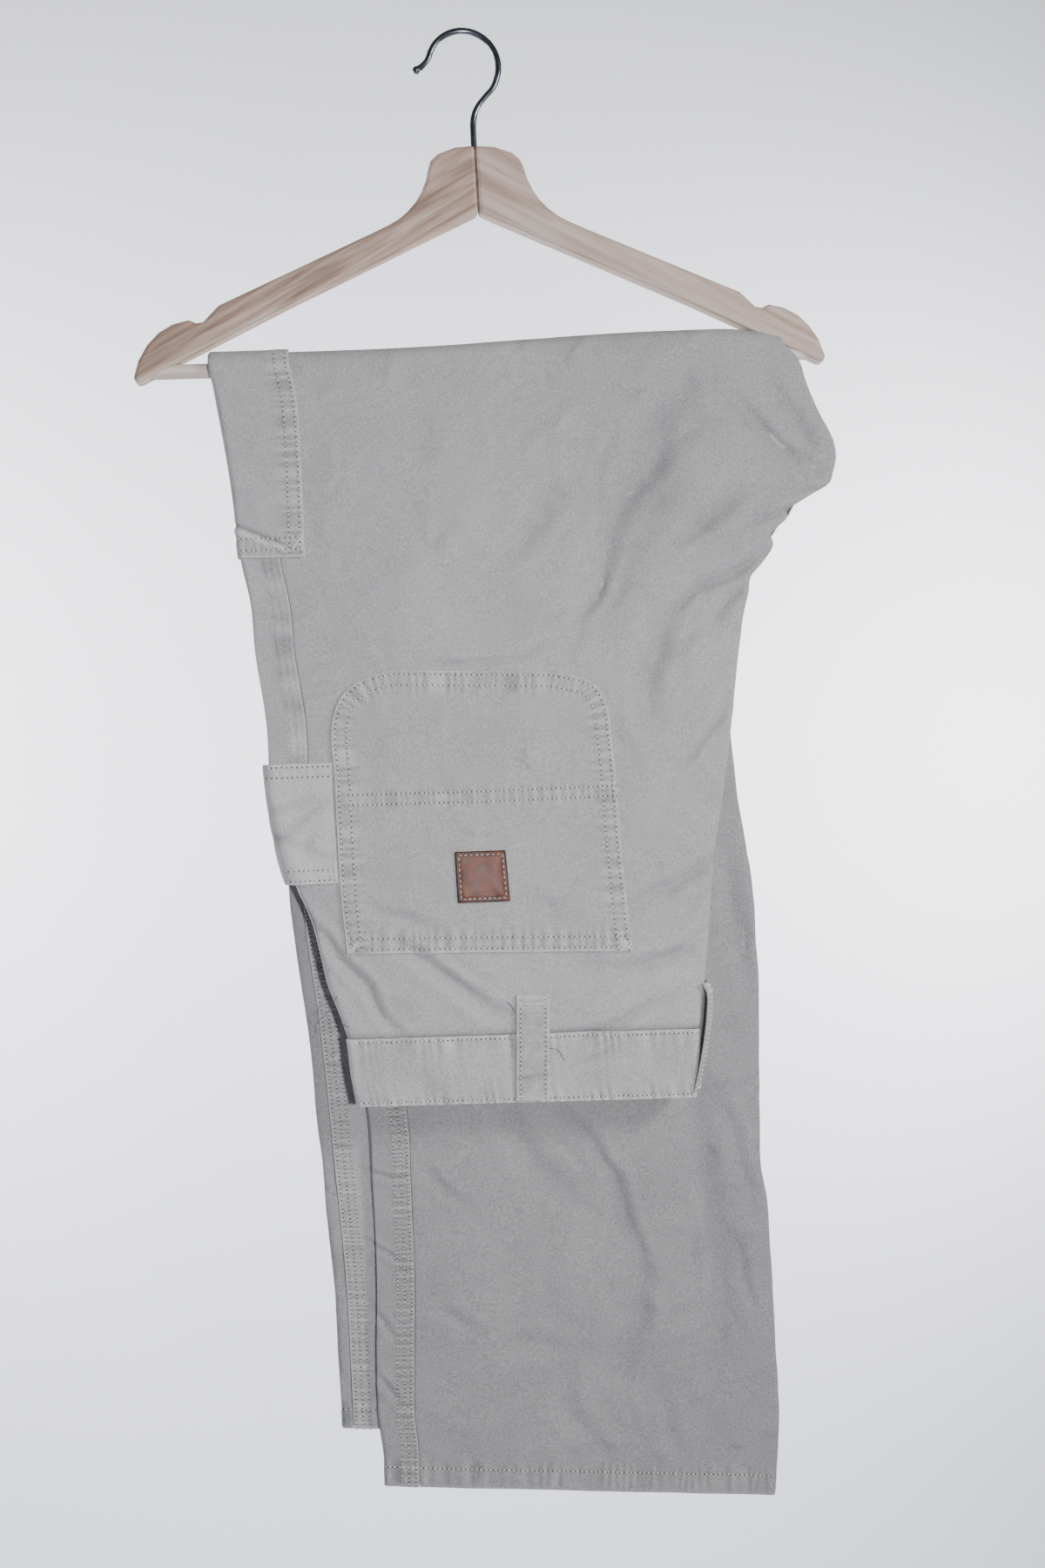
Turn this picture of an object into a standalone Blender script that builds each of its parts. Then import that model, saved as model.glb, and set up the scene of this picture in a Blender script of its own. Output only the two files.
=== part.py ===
"""Carpenter pants folded lengthwise and hung waist down over the bar of a wooden clothes hanger.

Metres, +Z up, +X to the right and +Y away from the front.  The origin is the inside of the hook's crown,
where the hanger rests on a rail.  The waist half hangs in front of the bar and the lower legs hang behind it.
Four cloth panels lie on each other: right back, right front, left front and left back, counted from outside.
"""
import math
from collections import namedtuple

import bmesh
import bpy
from mathutils import Matrix, Vector

MM = 0.001

# ---------------------------------------------------------------- driving dimensions, in millimetres
CLOTH = 1.0               # wall of one layer of canvas
DOUBLE_CLOTH = 2.2        # wall of the waistband, two layers and turnings
SEAM_GAP = 0.3            # clear gap between two pieces at a seam
LAY_GAP = 0.45            # clear gap below a piece that lies on a panel

HANGER_TILT = math.radians(3.5)      # left end lower than the right one
HANGER_TOP = (9.0, -73.0)            # x and z where the two arms meet at the top
HANGER_THICKNESS = 12.0
HANGER_ROUNDING = 2.4
BAR_RADIUS = 4.6
BAR_DROP = 138.0                     # from the top of the arms to the bar's axis
BAR_HALF_LENGTH = 212.0
WIRE_RADIUS = 2.0
HOOK_BALL_RADIUS = 2.7
HOOK_SOCKET_DEPTH = 26.0
SOCKET_END_GAP = 0.4

WAISTBAND_HEIGHT = 43.0
FRONT_DIP = 30.0                     # the waist is cut lower at the centre front
CENTRE_FRONT_INSET = 8.0             # fronts end inside the fold of the backs
EDGE_ROUNDING = 3.5                  # how far a seamed edge rounds in from its outline, at most
EDGE_SLENDERNESS = 1.2               # the rounding's reach for each unit of its rise

LOOP_WIDTH = 21.0
LOOP_THICKNESS = 1.3
LOOP_WRAP = 1.8                      # how far the edges of the centre back loop bend round the fold
BUTTON_RADIUS = 8.5

# ---------------------------------------------------------------- short tables, in millimetres
Edge = namedtuple("Edge", "z x")
Stack = namedtuple("Stack", "drop left_back left_front right_front right_back")
Seam = namedtuple("Seam", "z inset gap")
Fold = namedtuple("Fold", "x0 z0 x1 z1 depth reach")


def table(kind, rows):
    return [kind(*row) for row in rows]


# outlines of the front half: the waist half, which hangs in front of the bar
RIGHT_FOLD_FRONT = table(Edge, (
    (-222, -157), (-241, -152), (-275, -146), (-309, -141), (-341, -138), (-371, -132), (-404, -130),
    (-445, -124), (-488, -119), (-520, -112), (-545, -104), (-567, -94), (-605, -84), (-640, -72),
    (-663, -69), (-684, -65)))
LEFT_FOLD_FRONT = table(Edge, (
    (-222, -139), (-275, -130), (-341, -124), (-445, -112), (-545, -96), (-605, -78), (-640, -68),
    (-684, -61)))
BACK_SEAM_FRONT = table(Edge, (
    (-199, 198), (-207, 214), (-218, 222), (-240, 233), (-256, 242), (-268, 245), (-280, 242), (-292, 229),
    (-305, 213), (-323, 202), (-342, 194), (-362, 185), (-387, 181), (-417, 177), (-465, 172),
    (-530, 163), (-591, 158), (-639, 153), (-681, 150)))

# outlines of the rear half: the lower legs, which hang behind the bar
LEFT_LEG_FOLD = table(Edge, (
    (-222, -139), (-300, -130), (-400, -114), (-500, -100), (-600, -80), (-693, -61), (-741, -58),
    (-798, -55), (-884, -53), (-911, -49), (-934, -48)))
LEFT_LEG_INSEAM = table(Edge, (
    (-199, 198), (-260, 194), (-340, 184), (-420, 178), (-482, 183), (-545, 193), (-613, 198),
    (-734, 200), (-762, 204), (-821, 208), (-910, 212), (-953, 209)))
RIGHT_LEG_FOLD = table(Edge, (
    (-222, -157), (-260, -150), (-350, -134), (-450, -119), (-520, -111), (-567, -108), (-638, -98),
    (-742, -87), (-800, -81), (-845, -78), (-901, -75)))
RIGHT_LEG_INSEAM = table(Edge, (
    (-199, 198), (-260, 191), (-350, 180), (-450, 172), (-550, 171), (-700, 172), (-800, 176), (-915, 182)))

# how far each layer's middle lies from the plane of the bar, by the drop below the bar
FRONT_STACK = table(Stack, (
    (0, 5.7, 7.1, 8.5, 9.9), (30, 5.8, 8.0, 9.7, 12.0), (80, 6.0, 9.2, 11.3, 14.6),
    (250, 7.0, 10.6, 13.8, 17.6), (420, 9.5, 13.6, 19.6, 23.6), (490, 10.2, 14.4, 20.6, 24.8)))
REAR_STACK = table(Stack, (
    (0, 5.7, 7.1, 8.5, 9.9), (30, 5.7, 7.9, 9.6, 11.9), (100, 5.7, 8.8, 10.8, 13.9),
    (400, 5.8, 9.3, 11.6, 15.2), (760, 6.0, 9.6, 12.0, 15.8)))

# how far the outseam lies in from the side fold: on the back panel, or on the front one where it is negative
OUTSEAM_FRONT = table(Seam, (
    (-222, 30, 0.3), (-341, 25, 0.3), (-469, 26, 0.3), (-520, 8, 0.3), (-556, 1.2, 0.3), (-684, 1.2, 0.3)))
LEFT_OUTSEAM_FRONT = table(Seam, ((-222, 22, 0.3), (-400, 18, 0.3), (-684, 8, 0.3)))
LEFT_OUTSEAM_REAR = table(Seam, (
    (-222, 22, 0.3), (-400, 27, 0.3), (-693, 28, 0.3), (-853, 26, 0.3), (-935, 23, 0.3)))
RIGHT_OUTSEAM_REAR = table(Seam, (
    (-222, 30, 0.3), (-300, 16, 0.8), (-350, 4, 1.5), (-400, -4, 1.5), (-450, -9, 0.8), (-569, -9, 0.3),
    (-746, -9, 0.3), (-901, -8, 0.3)))

# the largest folds of the hanging cloth, a ridge or, where depth is negative, a trough
FRONT_FOLDS = table(Fold, (
    (176, -224, 232, -272, -4.0, 15), (196, -205, 226, -236, 2.5, 16), (138, -240, 88, -360, -4.5, 20),
    (168, -250, 120, -330, 2.5, 18), (196, -330, 128, -400, -2.5, 15), (150, -395, 118, -470, 2.0, 18),
    (-60, -250, 60, -262, 2.0, 34), (-98, -560, -50, -625, -2.2, 14), (150, -520, 108, -566, -2.0, 14),
    (20, -250, -40, -370, 1.8, 30)))
REAR_FOLDS = table(Fold, (
    (48, -690, 96, -770, -4.0, 16), (96, -770, 104, -900, -2.0, 18), (160, -690, 184, -800, -3.0, 15),
    (130, -700, 140, -860, 2.5, 20), (0, -720, 20, -900, 2.0, 26), (-20, -420, 20, -560, 2.0, 30),
    (120, -400, 90, -540, -2.5, 24)))

# the back pocket lies mouth down: its closed, rounded end is at the top
Strip = namedtuple("Strip", "z left right")
BACK_POCKET = table(Strip, (
    (-411, -44, 56), (-415, -59, 77), (-423, -72, 88), (-434, -79, 93), (-450, -82, 95), (-479, -80, 98),
    (-520, -78, 101), (-552, -76, 104), (-588, -72, 108)))
HAMMER_LOOP = table(Strip, ((-470, 8, 41), (-495, 8, 38), (-520, 8, 34), (-545, 8, 28)))
Loop = namedtuple("Loop", "name layer x top base")
BELT_LOOPS = table(Loop, (
    ("right_back", "right_back", 44, -615, -681), ("left_back", "left_back", 44, -615, -681),
    ("right_front", "right_front", 28, -600, -664), ("left_front", "left_front", 54, -597, -660)))
Lift = namedtuple("Lift", "z lift")
CENTRE_BACK_LOOP = table(Lift, (
    (-609, -0.7), (-616, 3.4), (-630, 4.6), (-646, 4.2), (-664, 2.2), (-678, -0.1)))
PATCH_CORNERS = ((-5, -525), (27, -524), (30, -556), (-3, -557))
PATCH_THICKNESS = 1.2
FLY_FACING = table(Strip, (
    (-455, 125, 155), (-490, 122, 151), (-525, 119, 147), (-560, 116, 143), (-595, 113, 139)))
FLY_ZIP = table(Strip, (
    (-455, 138, 150), (-490, 134, 146), (-525, 130, 142), (-560, 126, 138), (-595, 122, 134)))
FLY_LIFT = -3.6                      # under the fronts' inner faces
BUTTON_PLACE = (128, -632)
BUTTON_THICKNESS = 1.4

# heights of the sections along the two halves, read at the right edge
FRONT_SECTIONS = (-199, -207, -217, -229, -243, -256, -268, -280, -292, -306, -328, -356, -390, -430,
                  -475, -520, -560, -600, -637)
REAR_SECTIONS = (-199, -225, -260, -305, -350, -400, -450, -500, -550, -600, -650, -700, -750, -800, -850,
                 -900, -953)
CROTCH_HEIGHTS = (-262, -300)                       # above the first two legs, below the second one hip
FOLDS_START = (0.02, 0.16)                          # shares over which the folds rise below the bar
LEGS_HEM = {"left": -953, "right": -915}            # height of each hem at the inseam
BEND_STEPS = 6
GRID = (0.15, 0.26, 0.38, 0.50, 0.62, 0.74, 0.87)   # columns of the flat part, as shares of its width
CURL_PARTS = (0.0, 0.5, 1.0)
BAND_SHARE = 1.12                                   # just past the waistband's free edge
FOLD_STEP = 0.8

# base colour, roughness and metallic value of each finish
FINISHES = {
    "canvas": ((0.36, 0.36, 0.37), 0.92, 0.0),
    "canvas_trim": ((0.40, 0.40, 0.41), 0.92, 0.0),
    "leather": ((0.25, 0.13, 0.10), 0.55, 0.0),
    "beech": ((0.62, 0.50, 0.42), 0.5, 0.0),
    "wire": ((0.20, 0.21, 0.24), 0.25, 1.0),
    "brass": ((0.45, 0.40, 0.30), 0.35, 1.0),
}


# ---------------------------------------------------------------- reading the tables
def smooth_value(rows, at, column):
    """Value of a column on the smooth curve through the rows, whose first column falls or rises steadily."""
    keys = [row[0] for row in rows]
    values = [getattr(row, column) for row in rows]
    sign = 1.0 if keys[-1] > keys[0] else -1.0
    at = min(max(at * sign, keys[0] * sign), keys[-1] * sign) * sign
    index = 0
    while index < len(keys) - 2 and (keys[index + 1] - at) * sign < 0:
        index += 1
    span = keys[index + 1] - keys[index]
    part = (at - keys[index]) / span

    def slope(i):
        low = max(i - 1, 0)
        high = min(i + 1, len(keys) - 1)
        return (values[high] - values[low]) / (keys[high] - keys[low])

    start = slope(index) * span
    end = slope(index + 1) * span
    rise = values[index + 1] - values[index]
    bend = start + end - 2 * rise
    return values[index] + part * (start + part * (3 * rise - 2 * start - end + part * bend))


def blend(low, high, value):
    """0 below low, 1 above high and smooth between them."""
    part = min(max((value - low) / (high - low), 0.0), 1.0)
    return part * part * (3 - 2 * part)


# ---------------------------------------------------------------- the two halves of the folded garment
AXIS = Vector((math.cos(HANGER_TILT), 0.0, math.sin(HANGER_TILT)))
ACROSS = Vector((-math.sin(HANGER_TILT), 0.0, math.cos(HANGER_TILT)))
TOWARDS = Vector((0.0, -1.0, 0.0))


def hanger_point(along, up, depth=0.0):
    """A point of the hanger's own plane, from the top of the joint between its arms."""
    point = AXIS * along + ACROSS * up
    return Vector((HANGER_TOP[0] + point.x, depth, HANGER_TOP[1] + point.z))


def bar_height(x):
    """Height of the bar's axis at x."""
    middle = hanger_point(0, -BAR_DROP)
    return middle.z + (x - middle.x) * math.tan(HANGER_TILT)


class Half:
    """One hanging half: its outlines for each leg, its layers, outseams and largest folds."""

    def __init__(self, side, folds, seams, outseams, stack, creases, sections):
        self.side = side
        self.folds = folds
        self.seams = seams
        self.outseams = outseams
        self.stack = stack
        self.creases = creases
        top = sections[0]
        self.shares = [(top - z) / (top - sections[-1]) for z in sections]

    def section(self, leg, share):
        """Left and right end of a leg's section, share 0 at the bar and 1 at the last section."""
        fold = self.folds[leg]
        seam = self.seams[leg]
        start_left = fold[0].x
        start_right = seam[0].x
        z_left = bar_height(start_left) + share * (self.last(fold) - bar_height(start_left))
        z_right = bar_height(start_right) + share * (self.last(seam) - bar_height(start_right))
        left = Vector((smooth_value(fold, z_left, "x"), 0.0, z_left))
        right = Vector((smooth_value(seam, z_right, "x"), 0.0, z_right))
        return left, right

    def last(self, rows):
        """Height where the panels end: the lower of the two hems, or the waist seam above the band."""
        if self.side < 0:
            return LEFT_LEG_FOLD[-1].z if rows in (LEFT_LEG_FOLD, RIGHT_LEG_FOLD) else LEFT_LEG_INSEAM[-1].z
        return rows[-1].z + WAISTBAND_HEIGHT

    def reference(self, share):
        """Ends of the section whose columns both legs share: the leg that shows in this half."""
        return self.section("right" if self.side > 0 else "left", share)

    def depth(self, share, x):
        """Shift towards the front of every layer, straight between the columns of the grid."""
        columns = (0.0,) + GRID + (1.0,)
        left, right = self.reference(share)
        across = min(max((x - left.x) / (right.x - left.x), 0.0), 1.0)
        index = 0
        while index < len(columns) - 2 and columns[index + 1] < across:
            index += 1
        part = (across - columns[index]) / (columns[index + 1] - columns[index])
        low = self.crease_sum(share, columns[index])
        high = self.crease_sum(share, columns[index + 1])
        return low + (high - low) * part

    def crease_sum(self, share, across):
        left, right = self.reference(share)
        point = left.lerp(right, across)
        total = 0.0
        for crease in self.creases:
            start = Vector((crease.x0, 0.0, crease.z0))
            run = Vector((crease.x1, 0.0, crease.z1)) - start
            part = min(max((point - start).dot(run) / run.length_squared, 0.0), 1.0)
            distance = (point - start - run * part).length
            total += crease.depth * math.exp(-(distance / crease.reach) ** 2)
        return total * blend(*FOLDS_START, share)

    def layer(self, name, share):
        drop = share * (bar_height(0) - self.last(self.seams["left"]))
        return smooth_value(self.stack, drop, name)


FRONT = Half(1, {"right": RIGHT_FOLD_FRONT, "left": LEFT_FOLD_FRONT},
             {"right": BACK_SEAM_FRONT, "left": BACK_SEAM_FRONT},
             {"right": OUTSEAM_FRONT, "left": LEFT_OUTSEAM_FRONT}, FRONT_STACK, FRONT_FOLDS, FRONT_SECTIONS)
REAR = Half(-1, {"right": RIGHT_LEG_FOLD, "left": LEFT_LEG_FOLD},
            {"right": RIGHT_LEG_INSEAM, "left": LEFT_LEG_INSEAM},
            {"right": RIGHT_OUTSEAM_REAR, "left": LEFT_OUTSEAM_REAR}, REAR_STACK, REAR_FOLDS, REAR_SECTIONS)
CROTCH_SHARES = [(FRONT_SECTIONS[0] - z) / (FRONT_SECTIONS[0] - FRONT_SECTIONS[-1]) for z in CROTCH_HEIGHTS]


class Station:
    """One section through a leg: where a walk along its cloth goes, and which way is outwards."""

    def __init__(self, half, leg, share, bend=None):
        self.half = half
        self.leg = leg
        self.share = share
        self.bend = bend
        self.left, self.right = half.section(leg, share)
        self.width = (self.right - self.left).length
        self.back = half.layer(leg + "_back", share)
        self.front = half.layer(leg + "_front", share)
        self.radius = abs(self.back - self.front) / 2
        self.hip = 0.0
        if half is FRONT and bend is None:
            self.hip = blend(*CROTCH_SHARES, share)
        self.outseam = smooth_value(half.outseams[leg], self.left.z, "inset")
        self.gap = smooth_value(half.outseams[leg], self.left.z, "gap")

    def edge_target(self, panel):
        """Distance from the bar's plane where a panel meets its neighbour at the right edge."""
        other_leg = "left" if self.leg == "right" else "right"
        partner = self.half.layer(other_leg + "_" + panel, self.share)
        own = self.back if panel == "back" else self.front
        leg_seam = (self.back + self.front) / 2
        return leg_seam + ((own + partner) / 2 - leg_seam) * self.hip

    def quarter(self):
        """Length of the walk from the side fold to where the layer is flat."""
        return self.radius * math.pi / 2

    def reach(self, panel):
        inset = CENTRE_FRONT_INSET * self.hip if panel == "front" else 0.0
        return self.width - inset

    def column(self, share):
        """How far in from the side fold a column of the common grid lies."""
        left, right = self.half.reference(self.share)
        x = left.x + (right.x - left.x) * share
        return (x - self.left.x) / (self.right.x - self.left.x) * self.width

    def flat_walk(self, across):
        """The walk to a point that lies this far in from the side fold."""
        return across - self.radius + self.quarter()

    def walk(self, position):
        """Across and outward coordinates, and the outward direction, at a signed walk from the side fold.

        Negative walks go along the back panel's layer and positive ones along the front panel's."""
        panel = "back" if position < 0 else "front"
        own = self.back if panel == "back" else self.front
        middle = (self.back + self.front) / 2
        side = 1.0 if own > middle else -1.0
        length = abs(position)
        if length < self.quarter():
            angle = length / self.radius
            across = self.radius * (1 - math.cos(angle))
            outward = middle + side * self.radius * math.sin(angle)
            return across, outward, Vector((-math.cos(angle), side * math.sin(angle)))
        across = length - self.quarter() + self.radius
        return self.past_edge(panel, across, own, side)

    def rounding(self, panel):
        """How far the right edge of a panel rounds in from its outline."""
        own = self.back if panel == "back" else self.front
        rise = abs(self.edge_target(panel) - own)
        return min(max(EDGE_SLENDERNESS * rise, 0.6), EDGE_ROUNDING)

    def past_edge(self, panel, across, own, side):
        rounding = self.rounding(panel)
        start = self.reach(panel) - rounding
        if across <= start:
            return across, own, Vector((0.0, side))
        rise = self.edge_target(panel) - own
        angle = min((across - start) / rounding, 1.0) * math.pi / 2
        tangent = Vector((rounding * math.cos(angle), rise * math.sin(angle)))
        normal = Vector((-tangent.y, tangent.x)).normalized() * side
        across = start + rounding * math.sin(angle)
        return across, own + rise * (1 - math.cos(angle)), normal

    def place(self, across, outward):
        """World point, in millimetres, of a point of this section."""
        direction = (self.right - self.left).normalized()
        point = self.left + direction * across
        if self.bend is not None:
            away = TOWARDS * math.cos(self.bend) + ACROSS * math.sin(self.bend)
            return point + away * outward
        shift = self.half.depth(self.share, point.x)
        return point + TOWARDS * (self.half.side * outward + shift)

    def point(self, position, lift):
        across, outward, normal = self.walk(position)
        return self.place(across + normal.x * lift, outward + normal.y * lift)


def stations(leg):
    """Sections of a leg from the waist seam, over the bar, to the hem."""
    front = [Station(FRONT, leg, share) for share in reversed(FRONT.shares[1:])]
    bends = [Station(FRONT, leg, 0.0, math.pi * step / BEND_STEPS) for step in range(BEND_STEPS + 1)]
    hem = (LEGS_HEM[leg] - REAR_SECTIONS[0]) / (REAR_SECTIONS[-1] - REAR_SECTIONS[0])
    shares = [share for share in REAR.shares[1:] if share < hem - 0.02] + [hem]
    return front + bends + [Station(REAR, leg, share) for share in shares]


def dipped(station, panel, share_of_width):
    """A front panel's section near the waist is drawn up towards the centre front."""
    if station.half is not FRONT or panel == "back" or station.bend is not None:
        return station
    drop = bar_height(0) - FRONT.last(BACK_SEAM_FRONT)
    dip = FRONT_DIP / drop * share_of_width ** 2 * blend(0.6, 1.0, station.share)
    return Station(FRONT, station.leg, station.share - dip)


def panel_walks(station, panel):
    """Signed walks of one panel's columns: outseam, side fold, flat grid and right edge."""
    sign = -1.0 if panel == "back" else 1.0
    start = (station.outseam if panel == "back" else -station.outseam) + station.gap / 2
    walks = [start]
    for count, fold in enumerate((-station.quarter(), 0.0, station.quarter()), start=1):
        walks.append(max(fold, start + FOLD_STEP * count))
    reach = station.reach(panel)
    for share in GRID:
        walks.append(station.flat_walk(station.column(share)))
    rounding = station.rounding(panel)
    for part in CURL_PARTS:
        gap = SEAM_GAP / 2 if part == CURL_PARTS[-1] else 0.0
        walks.append(station.flat_walk(reach - rounding * (1 - part) - gap))
    return [walk * sign for walk in walks]


# ---------------------------------------------------------------- making solids
def finish_material(finish):
    material = bpy.data.materials.get(finish)
    if material is None:
        material = bpy.data.materials.new(finish)
        material.use_nodes = True
        shader = material.node_tree.nodes["Principled BSDF"]
        colour, roughness, metallic = FINISHES[finish]
        shader.inputs["Base Color"].default_value = (*colour, 1.0)
        shader.inputs["Roughness"].default_value = roughness
        shader.inputs["Metallic"].default_value = metallic
    return material


def add_object(name, data, collection, finish=None):
    shape = bpy.data.objects.new(name, data)
    collection.objects.link(shape)
    if finish:
        data.materials.append(finish_material(finish))
    return shape


def wall(name, outer, inner, collection, finish):
    """A closed wall between two grids of points that have the same rows and columns."""
    rows = len(outer)
    columns = len(outer[0])
    mesh = bmesh.new()
    out = [[mesh.verts.new(point * MM) for point in row] for row in outer]
    into = [[mesh.verts.new(point * MM) for point in row] for row in inner]
    for row in range(rows - 1):
        for column in range(columns - 1):
            mesh.faces.new((out[row][column], out[row][column + 1], out[row + 1][column + 1],
                            out[row + 1][column]))
            mesh.faces.new((into[row][column], into[row + 1][column], into[row + 1][column + 1],
                            into[row][column + 1]))
    rim = [(0, column) for column in range(columns)]
    rim += [(row, columns - 1) for row in range(1, rows)]
    rim += [(rows - 1, column) for column in range(columns - 2, -1, -1)]
    rim += [(row, 0) for row in range(rows - 2, 0, -1)]
    for here, there in zip(rim, rim[1:] + rim[:1]):
        mesh.faces.new((out[there[0]][there[1]], out[here[0]][here[1]], into[here[0]][here[1]],
                        into[there[0]][there[1]]))
    bmesh.ops.triangulate(mesh, faces=mesh.faces)
    bmesh.ops.recalc_face_normals(mesh, faces=mesh.faces)
    data = bpy.data.meshes.new(name)
    mesh.to_mesh(data)
    mesh.free()
    shape = add_object(name, data, collection, finish)
    data.shade_smooth()
    data.set_sharp_from_angle(angle=math.radians(40))
    return shape


def cloth_panel(leg, panel, collection):
    outer = []
    inner = []
    for station in stations(leg):
        rows = ([], [])
        for walk in panel_walks(station, panel):
            across = station.walk(walk)[0]
            local = dipped(station, panel, across / station.width) if walk > 0 else station
            for row, lift in zip(rows, (CLOTH / 2, -CLOTH / 2)):
                row.append(local.point(walk, lift))
        outer.append(rows[0])
        inner.append(rows[1])
    return wall(f"{leg}_{panel}_panel", outer, inner, collection, "canvas")


def band_columns(leg, share):
    """Walks of the waistband on one leg's side, from the centre front round the side fold to the back."""
    station = Station(FRONT, leg, share)
    front = [station.flat_walk(station.reach("front") - 2.0)]
    front.append(station.flat_walk(station.reach("front") - EDGE_ROUNDING))
    front += [station.flat_walk(station.column(part)) for part in reversed(GRID)]
    fold = [station.quarter(), 0.0, -station.quarter()]
    back = [-station.flat_walk(station.column(part)) for part in GRID]
    back += [-station.flat_walk(station.width - EDGE_ROUNDING * part) for part in (1.0, 0.5)]
    return station, front + fold + back


def waistband(collection):
    """One band round the whole waist, open at the centre front."""
    drop = bar_height(0) - FRONT.last(BACK_SEAM_FRONT)
    outer = []
    inner = []
    for depth in (SEAM_GAP, WAISTBAND_HEIGHT / 2, WAISTBAND_HEIGHT):
        share = 1.0 + depth / drop
        rows = ([], [])
        for leg in ("right", "left"):
            station, walks = band_columns(leg, share)
            points = ([], [])
            for walk in walks:
                across = station.walk(walk)[0]
                dip = FRONT_DIP / drop * (across / station.width) ** 2 if walk > 0 else 0.0
                local = Station(FRONT, leg, share - dip)
                for row, lift in zip(points, (DOUBLE_CLOTH / 2, -DOUBLE_CLOTH / 2)):
                    row.append(local.point(walk, lift))
            if leg == "right":
                apex = [station.point(-station.flat_walk(station.width), lift)
                        for lift in (DOUBLE_CLOTH / 2, -DOUBLE_CLOTH / 2)]
                rows[0].extend(points[0] + [apex[0]])
                rows[1].extend(points[1] + [apex[1]])
            else:
                rows[0].extend(reversed(points[0]))
                rows[1].extend(reversed(points[1]))
        outer.append(rows[0])
        inner.append(rows[1])
    return wall("waistband", outer, inner, collection, "canvas_trim")


def find_share(leg, x, z):
    """Share of the front half whose section passes through x, z."""
    low = 0.0
    high = 1.2
    for _ in range(30):
        middle = (low + high) / 2
        left, right = FRONT.section(leg, middle)
        height = left.z + (right.z - left.z) * (x - left.x) / (right.x - left.x)
        if height > z:
            low = middle
        else:
            high = middle
    return (low + high) / 2


def surface_point(layer, x, z, lift):
    """A point over a flat part of a layer of the front half, lifted away from its leg's inside.

    Read straight between the panel's own sections, so that it follows the panel's facets."""
    share = find_share(layer.split("_")[0], x, z)
    shares = FRONT.shares + [BAND_SHARE]
    index = 0
    while index < len(shares) - 2 and shares[index + 1] < share:
        index += 1
    part = (share - shares[index]) / (shares[index + 1] - shares[index])
    depth = []
    for near in (shares[index], shares[index + 1]):
        depth.append(FRONT.layer(layer, near) + FRONT.depth(near, x))
    outward = depth[0] + (depth[1] - depth[0]) * part
    direction = 1.0 if layer in ("right_back", "left_front") else -1.0
    return Vector((x, -(outward + direction * lift), z))


def laid_strip(name, layer, strips, columns, collection, finish, lift=0.0, thickness=CLOTH):
    """A piece on a layer, through strips that give its left and right end at a height."""
    low = CLOTH / 2 + LAY_GAP + lift
    outer = []
    inner = []
    for strip in strips:
        xs = [strip.left + (strip.right - strip.left) * column / columns for column in range(columns + 1)]
        outer.append([surface_point(layer, x, strip.z, low + thickness) for x in xs])
        inner.append([surface_point(layer, x, strip.z, low) for x in xs])
    return wall(name, outer, inner, collection, finish)


def finer(strips, steps):
    """The strips with straight steps put between them."""
    rows = []
    for here, there in zip(strips, strips[1:]):
        for step in range(steps):
            part = step / steps
            rows.append(Strip(*(a + (b - a) * part for a, b in zip(here, there))))
    return rows + [strips[-1]]


def back_pockets(collection):
    strips = BACK_POCKET[:4] + finer(BACK_POCKET[4:], 2)
    laid_strip("right_back_pocket", "right_back", strips, 9, collection, "canvas")
    laid_strip("left_back_pocket", "left_back", strips, 9, collection, "canvas")


def pocket_patch(collection):
    """Bare leather patch near the pocket's mouth."""
    steps = 3
    low = CLOTH / 2 + LAY_GAP + CLOTH + LAY_GAP
    grids = []
    for lift in (low + PATCH_THICKNESS, low):
        grid = []
        for row in range(steps + 1):
            points = []
            for column in range(steps + 1):
                top = Vector(PATCH_CORNERS[0]).lerp(Vector(PATCH_CORNERS[1]), column / steps)
                base = Vector(PATCH_CORNERS[3]).lerp(Vector(PATCH_CORNERS[2]), column / steps)
                place = top.lerp(base, row / steps)
                points.append(surface_point("right_back", place.x, place.y, lift))
            grid.append(points)
        grids.append(grid)
    return wall("pocket_patch", *grids, collection, "leather")


def wrapped_piece(name, rows, collection, finish, thickness=CLOTH):
    """A piece round the right leg's side fold; each row is its stations' walks with their lifts."""
    outer = []
    inner = []
    for station, pairs in rows:
        outer.append([station.point(walk, lift + thickness) for walk, lift in pairs])
        inner.append([station.point(walk, lift) for walk, lift in pairs])
    return wall(name, outer, inner, collection, finish)


def hammer_loop(collection):
    """A wide strap round the side fold, slack, from inside the fold to the back pocket's edge."""
    rows = []
    low = CLOTH / 2 + LAY_GAP
    for strip in finer(HAMMER_LOOP, 2):
        share = find_share("right", -110, strip.z)
        station = Station(FRONT, "right", share)
        slack = 1.5 + 3.0 * blend(-470, -545, strip.z)
        pairs = []
        for walk in (-strip.right, -24.0, -14.0, -7.0, -2.5, 0.0, 2.5, strip.left):
            share_out = 1 - blend(2.0, 16.0, abs(walk + 1.0))
            pairs.append((walk, low + slack * share_out))
        rows.append((station, pairs))
    return wrapped_piece("hammer_loop", rows, collection, "canvas_trim", 1.4)


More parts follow.
